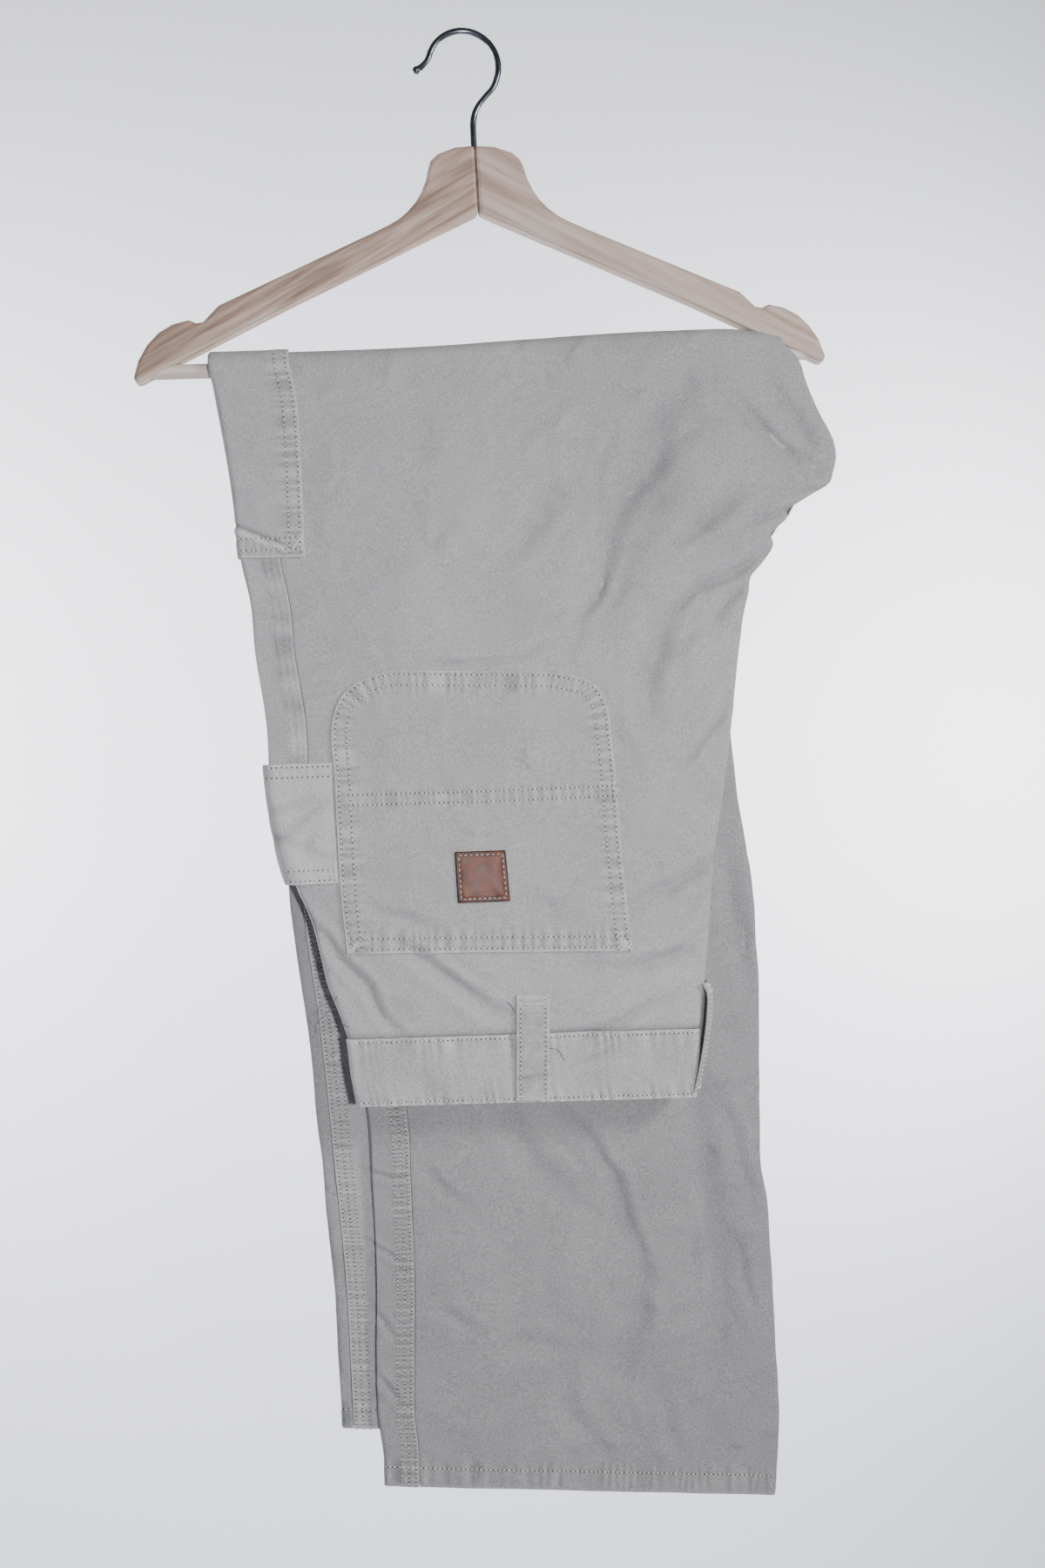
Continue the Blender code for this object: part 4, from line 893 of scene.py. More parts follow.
def panel_cloth(plan):
    """One panel's grid: fine columns by the outseam, then columns spread out to the right edge."""
    sign = -1.0 if plan.panel == "back" else 1.0
    near = np.arange(0.0, plan.fine, plan.fine_step)
    share = np.linspace(0.0, 1.0, plan.columns)
    share = share + plan.spread * (share * share - share)
    rows = leg_sections(plan)
    walks = []
    for section in rows:
        start = section.seam_start(plan.panel)
        end = section.flat_walk(section.reach(plan.panel)) - SEAM_GAP / 2
        wide = start + plan.fine + (end - start - plan.fine) * share
        walks.append(sign * np.concatenate((start + near, wide)))
    cloth = stitched_grid(rows, walks, np.zeros(len(rows)))
    if plan.panel == "front":
        for row, section in enumerate(rows):
            cloth.places[row, :, 2] += dip(section, np.maximum(walks[row], 0.0))
    return cloth, rows


def unevenness(layer, x, z):
    """A layer's own soft unevenness, which the pieces sewn on it share."""
    seed = PLANS[layer].seed
    return 0.5 * rumple(x, z, 62, seed) + 0.2 * rumple(x, z, 27, seed + 1) + 0.06 * rumple(x, z, 9, seed + 2)


def sewn_relief(distance, arc, rows, seed, sewn):
    """Grooves along rows of stitches, at these distances from an edge, and puckers between them."""
    grooves = sum(sewn.groove * bell(distance - row, GROOVE_WIDTH) for row in rows)
    window = blend(-1.0, rows[0], distance) * fade(rows[-1], rows[-1] + sewn.reach, distance)
    strength = np.clip(0.7 + 0.25 * wobble(arc, seed + 1), 0.35, 1.05)
    return sewn.pucker * window * puckers(arc, sewn.pitch, seed) * strength - grooves


def outseam_relief(cloth, rows, panel, seed):
    """The outseam: the front panel's lap with its rows and puckers, and the back panel's step beside it."""
    start = np.array([row.seam_start(panel) for row in rows])[:, None]
    if panel == "back":
        return -0.25 * bell(-cloth.across - start, 2.0), 0.0
    distance = cloth.across - start
    lap = 0.35 * fade(SEAM_ROWS[-1] + 1.0, SEAM_ROWS[-1] + 3.0, distance)
    return lap, sewn_relief(distance, cloth.along, SEAM_ROWS, seed, OUTSEAM_SEWN)


def hem_relief(cloth, seed):
    """The turned hem: a row of stitches, thicker cloth under it and puckers across it."""
    distance = cloth.along[-1][None, :] - cloth.along
    thicker = 0.3 * fade(HEM_ROW - 0.5, HEM_ROW + 1.5, distance)
    window = blend(0.0, 4.0, distance) * fade(HEM_ROW, HEM_ROW + 9.0, distance)
    bars = 0.4 * window * puckers(cloth.across, 7.5, seed) * (0.65 + 0.35 * wobble(cloth.across, seed + 1))
    return thicker, bars - 0.25 * bell(distance - HEM_ROW, GROOVE_WIDTH)


def free_room(section):
    """How far a layer may move before it meets its neighbour, each taking half of the gap."""
    if section.bend is not None:
        return LEAST_ROOM
    front, back = (section.half.layer(layer, section.share) for layer in ("left_front", "left_back"))
    return max((abs(front - back) - CANVAS) / 2 - 0.1, LEAST_ROOM)


def crease_shade_and_wear(cloth, rows):
    """The fine creases alone: their ridges washed paler, and painted shade in their troughs."""
    total = np.zeros(cloth.across.shape)
    for half in (FRONT, REAR):
        index = [number for number, row in enumerate(rows) if row.half is half and row.bend is None]
        fine = [crease for crease in half.creases if crease.width < BROAD_WIDTH]
        total[index] = crease_field(fine, cloth.places[index][..., 0], cloth.places[index][..., 2])
    return CREASE_SHADE_AND_WEAR * np.minimum(total, CREASE_WEAR_LIMIT)


def panel_painted_light(layer, cloth, rows):
    """Painted light and shade by place: painted shade on the lower legs, more towards their inseam, and on
    the crotch of the waist half, painted light on its waist and on the strip of the right front panel, with
    the creases' shade and wear.
    """
    x, z = cloth.places[..., 0], cloth.places[..., 2]
    tone = STRIP_PAINTED_LIGHT
    if layer != "right_front":
        low_leg_shade = LOW_LEG_PAINTED_SHADE + INSEAM_PAINTED_SHADE * blend(100.0, 190.0, x)
        waist_light = WAIST_PAINTED_LIGHT * fade(-620.0, -540.0, z)
        crotch_shade = CROTCH_PAINTED_SHADE * blend(10.0, 120.0, x) * blend(-430.0, -290.0, z)
        tone = np.where(np.array([row.half is REAR for row in rows])[:, None], low_leg_shade, waist_light + crotch_shade)
    return tone + crease_shade_and_wear(cloth, rows)


def panels(finish):
    """The four leg panels: each a shell of its own, from the waist seam over the bar to the hem."""
    made = {}
    for layer, plan in PLANS.items():
        cloth, rows = panel_cloth(plan)
        lap, seam_bars = outseam_relief(cloth, rows, plan.panel, plan.seed)
        thicker, hem_bars = hem_relief(cloth, plan.seed + 5)
        # a groove along the waist seam, which also gets painted shade
        sewn = seam_bars + hem_bars - 0.6 * bell(cloth.along, 2.2)
        relief = unevenness(layer, cloth.places[..., 0], cloth.places[..., 2]) + lap + thicker + sewn
        room = np.array([free_room(section) for section in rows])[:, None]
        cloth.raise_by(np.clip(relief, -room, room))
        cloth.smooth_normals()
        sides = ("first column", "last row") if plan.panel == "front" else ("last row",)
        cloth.paint_wear_and_shade(panel_painted_light(layer, cloth, rows), BAR_WEAR_AND_SHADE * sewn, sides)
        piece = shell(layer + "_panel_cloth", cloth, CANVAS, finish)
        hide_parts(layer + "_panel")
        made[layer] = (cloth, rows)
    return made


# ---------------------------------------------------------------- pieces that lie on a panel
def over_layer(layer, x, z, lift):
    """Places over a flat part of a layer of the front half, lifted away from its leg's inside."""
    share = find_share(layer.split("_")[0], x, z)
    depths = np.array([FRONT.layer(layer, value) for value in SHARES])
    outward = np.interp(share, SHARES, depths) + FRONT.relief(share, x, z)
    direction = 1.0 if layer in ("right_back", "left_front") else -1.0
    y = -(outward + direction * (lift + unevenness(layer, x, z)))
    return np.stack((x, y, z), axis=-1), np.zeros(x.shape + (3,)) + TOWARDS * direction


def laid_cloth(layer, strips, column_size, row_size, lift, relief=None, dense_top=0.0):
    """A Cloth on a layer, between the left and right ends that strips give at each height."""
    top, base = strips[0].z, strips[-1].z
    parts = np.array(steps(0.0, 1.0, row_size / abs(base - top)))
    parts = parts + dense_top * (parts * parts - parts)
    heights = top + (base - top) * parts
    width = max(strip.right - strip.left for strip in strips)
    shares = np.linspace(0.0, 1.0, int(round(width / column_size)) + 1)
    left, right = (np.array([[smooth_value(strips, z, end)] for z in heights]) for end in ("left", "right"))
    x = left + (right - left) * shares[None, :]
    z = np.repeat(heights[:, None], len(shares), axis=1)
    step, bars = relief(x, z) if relief else (0.0, 0.0)
    places, normals = over_layer(layer, x, z, lift + step + bars)
    cloth = Cloth(places, normals, x, z)
    cloth.smooth_normals()
    cloth.paint_wear_and_shade(LAID_TONE, BAR_WEAR_AND_SHADE * bars, ALL_SIDES)
    return cloth


def pocket_outline():
    """The pocket's edge from one corner of its mouth round the closed end to the other."""
    top, mouth = BACK_POCKET[0].z, BACK_POCKET[-1].z
    heights = [top - (top - mouth) * (part / 40) ** 2 for part in range(41)]
    left, right = ([np.array((smooth_value(BACK_POCKET, z, end), z)) for z in heights]
                   for end in ("left", "right"))
    return left[::-1] + right


def pocket_relief(x, z):
    """Turned edges, rows of stitches with puckers between them, and the seam across the pocket."""
    side = pocket_outline()
    step = np.zeros_like(x)
    bars = np.zeros_like(x)
    for path, seed in ((side, 51), ([side[0], side[-1]], 53)):
        distance, arc = path_measure(path, x, z)[:2]
        step += 0.35 * fade(POCKET_ROWS[1] + 0.8, POCKET_ROWS[1] + 2.6, distance)
        bars += sewn_relief(distance, arc, POCKET_ROWS, seed, POCKET_SEWN)
    distance, arc = path_measure(np.array(POCKET_SEAM, float), x, z)[:2]
    step += 0.25 * fade(3.5, 5.5, distance)
    bars -= 0.18 * bell(distance - POCKET_SEAM_ROW, GROOVE_WIDTH)
    return step, bars + 0.28 * puckers(arc, 6.0, 57) * fade(2.0, 9.0, distance)


def pockets(finish):
    """The back pockets: the right one shows whole, the left one is folded inside."""
    made = []
    for side, column_size, row_size, relief in (("right", 1.5, 1.4, pocket_relief), ("left", 6.0, 5.0, None)):
        cloth = laid_cloth(side + "_back", BACK_POCKET, column_size, row_size, LAID_LIFT, relief, 0.6)
        piece = shell(side + "_back_pocket_cloth", cloth, CANVAS, finish)
        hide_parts(side + "_back_pocket")
        made.append(cloth)
    return made


def patch(finish):
    """Bare leather patch near the pocket's mouth, with a stitched border that presses it down."""
    corners = [np.array(corner, float) for corner in PATCH_CORNERS]
    share = np.linspace(0.0, 1.0, PATCH_COUNT)
    top = corners[0] + (corners[1] - corners[0]) * share[:, None]
    base = corners[3] + (corners[2] - corners[3]) * share[:, None]
    place = top[None] + (base - top)[None] * share[:, None, None]
    x, z = place[..., 0], place[..., 1]
    from_side = np.minimum(share, 1 - share) * (PATCH_COUNT - 1)
    inset = np.minimum(from_side[:, None], from_side[None, :])
    groove = -0.28 * bell(inset - PATCH_ROW, 0.8)
    crown = 0.25 * blend(2.0, 9.0, inset) + 0.1 * rumple(x, z, 12, 91)
    lift = LAID_LIFT + SOLID_CANVAS / 2 + LAY_GAP + LEATHER / 2
    places, normals = over_layer("right_back", x, z, lift - 0.35 * bell(inset, 0.8) + groove + crown)
    cloth = Cloth(places, normals, x, z)
    cloth.smooth_normals()
    # painted shade in the stitched groove, and a darker border
    cloth.paint_wear_and_shade(0.0, 1.6 * groove - 0.55 * bell(inset, 1.6))
    piece = shell("leather_patch", cloth, LEATHER, finish, 0.4)
    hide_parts("pocket_patch")
    return cloth


def loop_relief(loop, x, z):
    """A belt loop's bulge over the band, its turned ends, the grooves of its rows and a crease across it."""
    end = np.minimum(loop.top - z, z - loop.base)
    side = LOOP_WIDTH / 2 - np.abs(x - loop.x)
    first, second = LOOP_TOP_TACKS
    turned = 0.45 * fade(6.4, 7.6, end) - 0.65 * bell(side - LOOP_ROW, 0.8)
    # deep grooves at the bartacks, which also get painted shade
    turned = turned - 0.9 * bell(end - first, GROOVE_WIDTH) - 0.7 * bell(end - second, GROOVE_WIDTH)
    fold = -0.7 * bell(z - loop.base - 15.0 - 0.16 * (x - loop.x), 1.5)
    bulge = 0.7 * bell(z - loop.base - 30.0, 14.0)
    return bulge, 0.5 * turned + 0.7 * fold + 0.15 * rumple(x, z, 8, 95)


def belt_loops(finish):
    """Straps that stand over the waistband, each turned under at both ends."""
    made = []
    for loop in BELT_LOOPS:
        column_size, row_size = (1.2, 1.2) if loop.name == "right_back" else (3.0, 4.0)
        ends = [Strip(z, loop.x - LOOP_WIDTH / 2, loop.x + LOOP_WIDTH / 2) for z in (loop.top, loop.base)]
        lift = SOLID_BAND / 2 + LAY_GAP + LOOP_CANVAS / 2
        cloth = laid_cloth(loop.layer, ends, column_size, row_size, lift, partial(loop_relief, loop))
        piece = shell(f"belt_loop_{loop.name}_cloth", cloth, LOOP_CANVAS, finish, edge=0.4)
        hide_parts(f"belt_loop_{loop.name}")
        made.append(cloth)
    return made


def centre_back_loop(finish):
    """A strap that stands off the folded centre back seam, seen edge-on from the front."""
    part = np.linspace(-1.0, 1.0, 18)
    bent = np.where(part < 0, LOOP_TURN, LOOP_WRAP) * part ** 2
    places = []
    for z in steps(CENTRE_BACK_LOOP[0].z, CENTRE_BACK_LOOP[-1].z, 1.2):
        section = Section(FRONT, "right", share_at(150.0, z))
        lift = SOLID_BAND / 2 + LAY_GAP + smooth_value(CENTRE_BACK_LOOP, z, "lift")
        apex = section.points([-section.flat_walk(section.width)], lift)[0][0]
        places.append(np.stack((apex[0] - bent + LOOP_CANVAS / 2, apex[1] + LOOP_WIDTH / 2 * part,
                                np.full_like(part, z)), axis=-1))
    places = np.array(places)
    cloth = Cloth(places, np.zeros_like(places) + np.array((1.0, 0.0, 0.0)), places[..., 1], places[..., 2])
    cloth.smooth_normals()
    piece = shell("belt_loop_centre_back_cloth", cloth, LOOP_CANVAS, finish, edge=0.4)
    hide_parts("belt_loop_centre_back")
    return cloth


def fly(finish, metal):
    """Facing and zip of the fly, inside the folded fronts."""
    for name, layer, strips, skin, slot_name in (("fly_facing", "left_front", FLY_FACING, finish, "canvas"),
                                                 ("fly_zip", "right_front", FLY_ZIP, metal, "brass")):
        piece = shell(name + "_strip", laid_cloth(layer, strips, 2.0, 3.0, LAID_LIFT + FLY_LIFT), FLY_TAPE,
                      skin)
        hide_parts(name)


# ---------------------------------------------------------------- pieces that go round the folds
def band_relief(depth, arc):
    """Rows of stitches along both edges of the waistband, with upright puckers between them."""
    total = np.zeros_like(arc) - sum(0.2 * bell(depth - row, GROOVE_WIDTH) for row in BAND_ROWS)
    upper = math.exp(-max(depth - BAND_ROWS[0], 0.0) / 9.0)
    lower = math.exp(-max(BAND_ROWS[1] - depth, 0.0) / 5.0)
    for share, pitch, seed in ((upper, 8.2, 61), (lower, 6.2, 63)):
        strength = np.clip(0.6 + 0.4 * wobble(arc, seed + 1), 0.1, 1.1)
        total += 0.55 * share * puckers(arc, pitch, seed) * strength
    return total + 0.12 * rumple(arc, np.full_like(arc, depth * 0.5), 24, 65)


def band_walks(section, outside_columns):
    """Round a leg's share of the band: the fronts, the side fold, the backs and their edge at the seam."""
    edge = section.flat_walk(section.width - EDGE_ROUNDING)
    return np.concatenate((
        np.linspace(section.flat_walk(section.reach("front") - 2.0), section.quarter + 0.5, 44),
        np.linspace(section.quarter, -section.quarter, 12),
        np.linspace(-section.quarter - 0.5, -edge, outside_columns),
        np.linspace(-edge - 0.5, -section.flat_walk(section.width - 0.3), 6)))


def waistband(finish):
    """One band round the whole waist, open at the centre front, twice as thick as a layer."""
    rows = []
    for depth in steps(SEAM_GAP, WAISTBAND_HEIGHT, 1.3):
        places, normals, walked = [], [], []
        for leg, outside_columns, order in (("right", 170, 1), ("left", 44, -1)):
            section = Section(FRONT, leg, 1.0 + depth / FRONT.drop())
            walks = band_walks(section, outside_columns)[::order]
            place, normal = section.points(walks)
            place[:, 2] += dip(section, np.maximum(walks, 0.0))
            places.append(place)
            normals.append(normal)
            walked.append(walks if leg == "right" else -walks - 2 * section.width)
        arc = np.concatenate(walked)
        relief = band_relief(depth, arc)
        normal = np.concatenate(normals)
        place = np.concatenate(places) + normal * relief[:, None]
        rows.append((place, normal, arc, np.full_like(arc, -depth), relief))
    *grids, relief = (np.array(part) for part in zip(*rows))
    cloth = Cloth(*grids)
    cloth.smooth_normals()
    cloth.paint_wear_and_shade(BAND_TONE, BAR_WEAR_AND_SHADE * relief, ("first row", "last row"))
    piece = shell("waistband_cloth", cloth, BAND_CANVAS, finish, edge=0.5)
    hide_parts("waistband")
    return cloth


def wrapped_cloth(rows, walks, lifts, relief, sides, tone):
    """A Cloth round the right leg's side fold, with its relief, and its wear and painted shade."""
    cloth = stitched_grid(rows, walks, lifts)
    step, bars = relief(cloth)
    cloth.raise_by(step + bars)
    cloth.smooth_normals()
    cloth.paint_wear_and_shade(tone, BAR_WEAR_AND_SHADE * bars, sides)
    return cloth


def tool_pocket_relief(cloth):
    """Turned side edge and mouth hem with rows of stitches, and the crease above the hem."""
    side = cloth.across - cloth.across[:, :1]
    end = cloth.along
    step = 0.3 * fade(10.0, 12.0, np.minimum(side, end))
    bars = sewn_relief(side, cloth.along, TOOL_POCKET_ROWS, 71, TOOL_POCKET_SEWN)
    bars += sewn_relief(end, cloth.across, TOOL_HEM_ROWS, 73, TOOL_HEM_SEWN)
    above = end - 8.5 - 0.44 * (side - 17.0)
    fold = bell(above + 1.8, 2.0) - 0.9 * bell(above - 1.6, 1.5)
    second = bell(end - 6.5 - 0.9 * (side - 19.0), 1.3) * fade(11.0, 13.0, end)
    return step, bars + (0.9 * fold - 0.7 * second) * blend(9.0, 16.0, side)


def tool_pocket(finish):
    """A long pocket over the outseam and the side fold, from in front over the bar to the rear half."""
    start = share_at(*TOOL_POCKET_START)
    last = (REAR_TOP - TOOL_POCKET_END) / (REAR_TOP - LEFT_LEG_INSEAM[-1].z)
    rows = over_the_bar("right", steps(start, 0.0, 1.7 / FRONT.drop())[:-1],
                        steps(0.0, last, 2.0 / REAR.drop())[1:])
    walks = []
    for section in rows:
        edge = 41 + 8 * float(blend(-341, -222, section.left[2]))
        walks.append(np.concatenate((np.linspace(-edge, -section.quarter, 30)[:-1],
                                     np.linspace(-section.quarter, section.quarter, 10)[:-1],
                                     np.linspace(section.quarter, 10.0, 8))))
    cloth = wrapped_cloth(rows, walks, np.full(len(rows), LAID_LIFT), tool_pocket_relief,
                          ("first row", "first column"), TOOL_POCKET_TONE)
    piece = shell("tool_pocket_cloth", cloth, CANVAS, finish)
    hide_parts("tool_pocket")
    return cloth


def strap_relief(cloth):
    """Turned edges of the hammer loop with two rows each, and slack creases slanting across it."""
    sides = (cloth.along, 81), (cloth.along[-1][None, :] - cloth.along, 83)
    total = sum(sewn_relief(side, cloth.across, STRAP_ROWS, seed, STRAP_SEWN) for side, seed in sides)
    for middle, slant, depth in STRAP_CREASES:
        place = cloth.along - middle - slant * (cloth.across + 20.0)
        total -= depth * bell(place, 3.4) * blend(-42.0, -22.0, cloth.across)
    return 0.0, total


def hammer_loop(finish):
    """A wide strap round the side fold, slack, from inside the fold to the back pocket's edge."""
    rows, walks, lifts = [], [], []
    for z in steps(HAMMER_LOOP[0].z, HAMMER_LOOP[-1].z, 1.4):
        rows.append(Section(FRONT, "right", share_at(-110.0, z)))
        right = smooth_value(HAMMER_LOOP, z, "right")
        walk = np.concatenate((np.linspace(-right, -4.0, 26)[:-1], np.linspace(-4.0, 8.0, 12)))
        slack = (1.5 + 3.0 * blend(-470, -545, z)) * fade(2.0, 16.0, np.abs(walk + 1.0))
        walks.append(walk)
        lifts.append(SOLID_CANVAS / 2 + LAY_GAP + SOLID_STRAP / 2 + slack)
    cloth = wrapped_cloth(rows, walks, lifts, strap_relief, ("first row", "last row"), STRAP_TONE)
    piece = shell("hammer_loop_cloth", cloth, STRAP_CANVAS, finish)
    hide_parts("hammer_loop")
    return cloth


# ---------------------------------------------------------------- sewing
class Sewing:
    """Stitches, and dark discs of painted shadow at the needle holes, gathered from many rows and made as one
    joined mesh.
    """

    def __init__(self):
        self.stitches = []
        self.hole_shadows = []

    def row(self, line, pitch, seed, cover=STITCH_COVER, radius=STITCH_RADIUS):
        """Stitches along a line of places and outward directions, with a dark disc of painted shadow at the
        needle hole between each two.
        """
        places, normals, face = line
        arc = lengths_along(places)
        count = max(int(arc[-1] / pitch), 1)
        draw = np.random.default_rng(seed)
        starts = np.arange(count) * arc[-1] / count + draw.normal(0.0, STITCH_UNEVENNESS[0], count)
        ends = starts + pitch * cover + draw.normal(0.0, STITCH_UNEVENNESS[1], count)
        gaps = ends + pitch * (1 - cover) / 2
        outward = unit(values_at(starts, arc, normals))
        start, end = values_at(starts, arc, places), values_at(ends, arc, places)
        raised = outward * (face + 0.25 * radius)
        self.stitches.append((start + raised, end + raised, outward, np.full(count, radius)))
        self.hole_shadows.append((values_at(gaps, arc, places) + outward * (face + HOLE_SHADOW_LIFT), outward,
                           unit(end - start)))

    def level(self, cloth, measure, pitch, seed):
        """A row straight across a cloth, this far from its first row."""
        columns = np.arange(0.0, cloth.across.shape[1] - 1.0, 0.5)
        self.row(cloth.spot(cloth.row_at(measure), columns), pitch, seed)

    def tack(self, line, width, pitch=0.9, radius=0.3):
        """A bartack: close stitches to and fro across a line."""
        places, normals, face = line
        arc = lengths_along(places)
        marks = np.linspace(0.0, arc[-1], int(arc[-1] / pitch) + 2)
        spots, outward = values_at(marks, arc, places), unit(values_at(marks, arc, normals))
        across = unit(np.cross(outward, np.gradient(spots, axis=0)))
        sway = np.where(np.arange(len(marks)) % 2, 0.5, -0.5)[:, None] * width
        corners = spots + across * sway + outward * (face + 0.5 * radius)
        self.stitches.append((corners[:-1], corners[1:], outward[:-1], np.full(len(marks) - 1, radius)))

    def threads(self):
        """Places of all stitches, ring by ring, and the faces between them."""
        start, end, outward, radius = (np.concatenate(part) for part in zip(*self.stitches))
        heading = unit(end - start)
        outward = unit(outward - heading * (outward * heading).sum(axis=1, keepdims=True))
        side = np.cross(outward, heading)
        corners = []
        for ring in STITCH_RINGS:
            middle = start + (end - start) * ring.share - outward * (radius * ring.sink)[:, None]
            for turn in np.arange(STITCH_SIDES) * 2 * math.pi / STITCH_SIDES:
                spoke = side * math.cos(turn) + outward * math.sin(turn)
                corners.append(middle + spoke * (radius * ring.radius)[:, None])
        each = len(corners)
        shape = [(ring + k, ring + (k + 1) % STITCH_SIDES, ring + STITCH_SIDES + (k + 1) % STITCH_SIDES,
                  ring + STITCH_SIDES + k) for ring in range(0, each - STITCH_SIDES, STITCH_SIDES)
                 for k in range(STITCH_SIDES)]
        shape += [tuple(range(STITCH_SIDES))[::-1], tuple(range(each - STITCH_SIDES, each))]
        faces = [tuple(first + corner for corner in face)
                 for first in range(0, each * len(start), each) for face in shape]
        return np.stack(corners, axis=1).reshape(-1, 3), faces

    def needle_hole_shadows(self, first):
        """Places and faces of the discs of painted shadow at the needle holes, which are numbered from the
        first on.
        """
        centre, up, along = (np.concatenate(part) for part in zip(*self.hole_shadows))
        aside = np.cross(up, along)
        corners = [centre + along * HOLE_SHADOW_RADIUS * math.cos(turn) + aside * HOLE_SHADOW_RADIUS * math.sin(turn)
                   for turn in np.arange(HOLE_SHADOW_SIDES) * 2 * math.pi / HOLE_SHADOW_SIDES]
        faces = [tuple(range(start, start + HOLE_SHADOW_SIDES))
                 for start in range(first, first + HOLE_SHADOW_SIDES * len(centre), HOLE_SHADOW_SIDES)]
        return np.stack(corners, axis=1).reshape(-1, 3), faces

    def build(self, name, thread, hole_shadow):
        points, threads = self.threads()
        hole_shadow_points, hole_shadows = self.needle_hole_shadows(len(points))
        data = bpy.data.meshes.new(name)
        data.from_pydata((np.concatenate((points, hole_shadow_points)) * MM).tolist(), [], threads + hole_shadows)
        piece = new_object(name, data, thread, hole_shadow)
        data.shade_smooth()
        data.polygons.foreach_set("material_index", [0] * len(threads) + [1] * len(hole_shadows))
        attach(piece, "root")
        return piece


def dense_path(path, step=1.0):
    """The same path in short steps, as rows of x and z."""
    path = np.array([tuple(point) for point in path], float)
    arc = lengths_along(path)
    return values_at(np.linspace(0.0, arc[-1], int(arc[-1] / step) + 2), arc, path)


def inset_path(path, distance):
    """The path moved to its right-hand side by a distance."""
    heading = unit(np.gradient(path, axis=0))
    return path + np.stack((heading[:, 1], -heading[:, 0]), axis=1) * distance


def sew_panels(made, thread, hole_shadow):
    """Three rows on the outseams and one on the hems."""
    sewing = Sewing()
    for layer, (cloth, rows) in made.items():
        plan = PLANS[layer]
        sewing.level(cloth, cloth.along[-1, 0] - HEM_ROW, PITCH["hem"], plan.seed)
        if plan.panel == "back":
            continue
        shown = [number for number, row in enumerate(rows)
                 if row.half is REAR and row.left[2] < OUTSEAM_SEWN_BELOW[layer]]
        for distance in SEAM_ROWS:
            line = cloth.spot(shown, distance / plan.fine_step)
            sewing.row(line, PITCH["outseam"], plan.seed + int(distance))
    return sewing.build("leg_stitches", thread, hole_shadow)


def sew_pockets(made, thread, hole_shadow):
    """Two rows round the back pockets and along their mouths, two on the seam across, and corner bartacks."""
    sewing = Sewing()
    outline = dense_path(pocket_outline())
    corners = outline[0], outline[-1]
    for number, cloth in enumerate(made):
        for distance in POCKET_ROWS:
            mouth = dense_path([corner + (0, distance) for corner in corners])
            for path, seed in ((inset_path(outline, distance), 300), (mouth, 310)):
                sewing.row(cloth.spot_over(path), PITCH["back pocket"], seed + number)
        for distance in (-POCKET_SEAM_ROW, POCKET_SEAM_ROW):
            seam = inset_path(dense_path(POCKET_SEAM), distance)
            sewing.row(cloth.spot_over(seam), PITCH["pocket seam"], 320 + number, radius=SEAM_STITCH_RADIUS)
        for corner, ends in zip(corners, POCKET_TACKS):
            sewing.tack(cloth.spot_over(dense_path([corner + end for end in ends])), 4.0, 1.1, 0.36)
    return sewing.build("back_pocket_stitches", thread, hole_shadow)


def sew_band(cloth, thread, hole_shadow):
    """A row along each edge of the waistband."""
    sewing = Sewing()
    for number, depth in enumerate(BAND_ROWS):
        sewing.level(cloth, depth - SEAM_GAP, PITCH["waistband"], 330 + number)
    return sewing.build("waistband_stitches", thread, hole_shadow)


def sew_tool_pocket(cloth, thread, hole_shadow):
    """Two rows on the tool pocket's side edge and two on its mouth hem, with a crossed bartack."""
    sewing = Sewing()
    count, measures = cloth.across.shape[0], np.arange(cloth.across.shape[1])
    for number, distance in enumerate(TOOL_POCKET_ROWS):
        columns = [np.interp(distance, row - row[0], measures) for row in cloth.across]
        sewing.row(cloth.spot(np.arange(count), columns), PITCH["tool pocket"], 340 + number)
    for number, distance in enumerate(TOOL_HEM_ROWS):
        sewing.level(cloth, distance, PITCH["hem"], 345 + number)
    for columns in ((1.0, 5.5), (5.5, 1.0)):
        sewing.tack(cloth.spot(np.linspace(3.0, 7.5, 12), np.linspace(*columns, 12)), 1.4)
    return sewing.build("tool_pocket_stitches", thread, hole_shadow)


def sew_hammer_loop(cloth, thread, hole_shadow):
    """Two rows along both edges of the hammer loop, and a bartack at its end."""
    sewing = Sewing()
    width = cloth.along[-1, 0]
    for number, distance in enumerate(STRAP_ROWS):
        for measure in (distance, width - distance):
            sewing.level(cloth, measure, PITCH["hammer loop"], 350 + number)
    ends = [cloth.row_at(width - distance) for distance in (14.0, 4.0)]
    sewing.tack(cloth.spot(np.linspace(*ends, 12), 1.5), 1.8)
    return sewing.build("hammer_loop_stitches", thread, hole_shadow)


def sew_patch(cloth, thread, hole_shadow):
    """One row round the leather patch."""
    sewing = Sewing()
    low, high = PATCH_ROW, PATCH_COUNT - 1 - PATCH_ROW
    corners = np.array(((low, low), (low, high), (high, high), (high, low), (low, low)))
    for number, (start, end) in enumerate(zip(corners, corners[1:])):
        line = cloth.spot(*(np.linspace(a, b, 30) for a, b in zip(start, end)))
        sewing.row(line, PITCH["patch"], 360 + number, PATCH_STITCH_COVER, PATCH_STITCH_RADIUS)
    return sewing.build("patch_stitches", thread, hole_shadow)


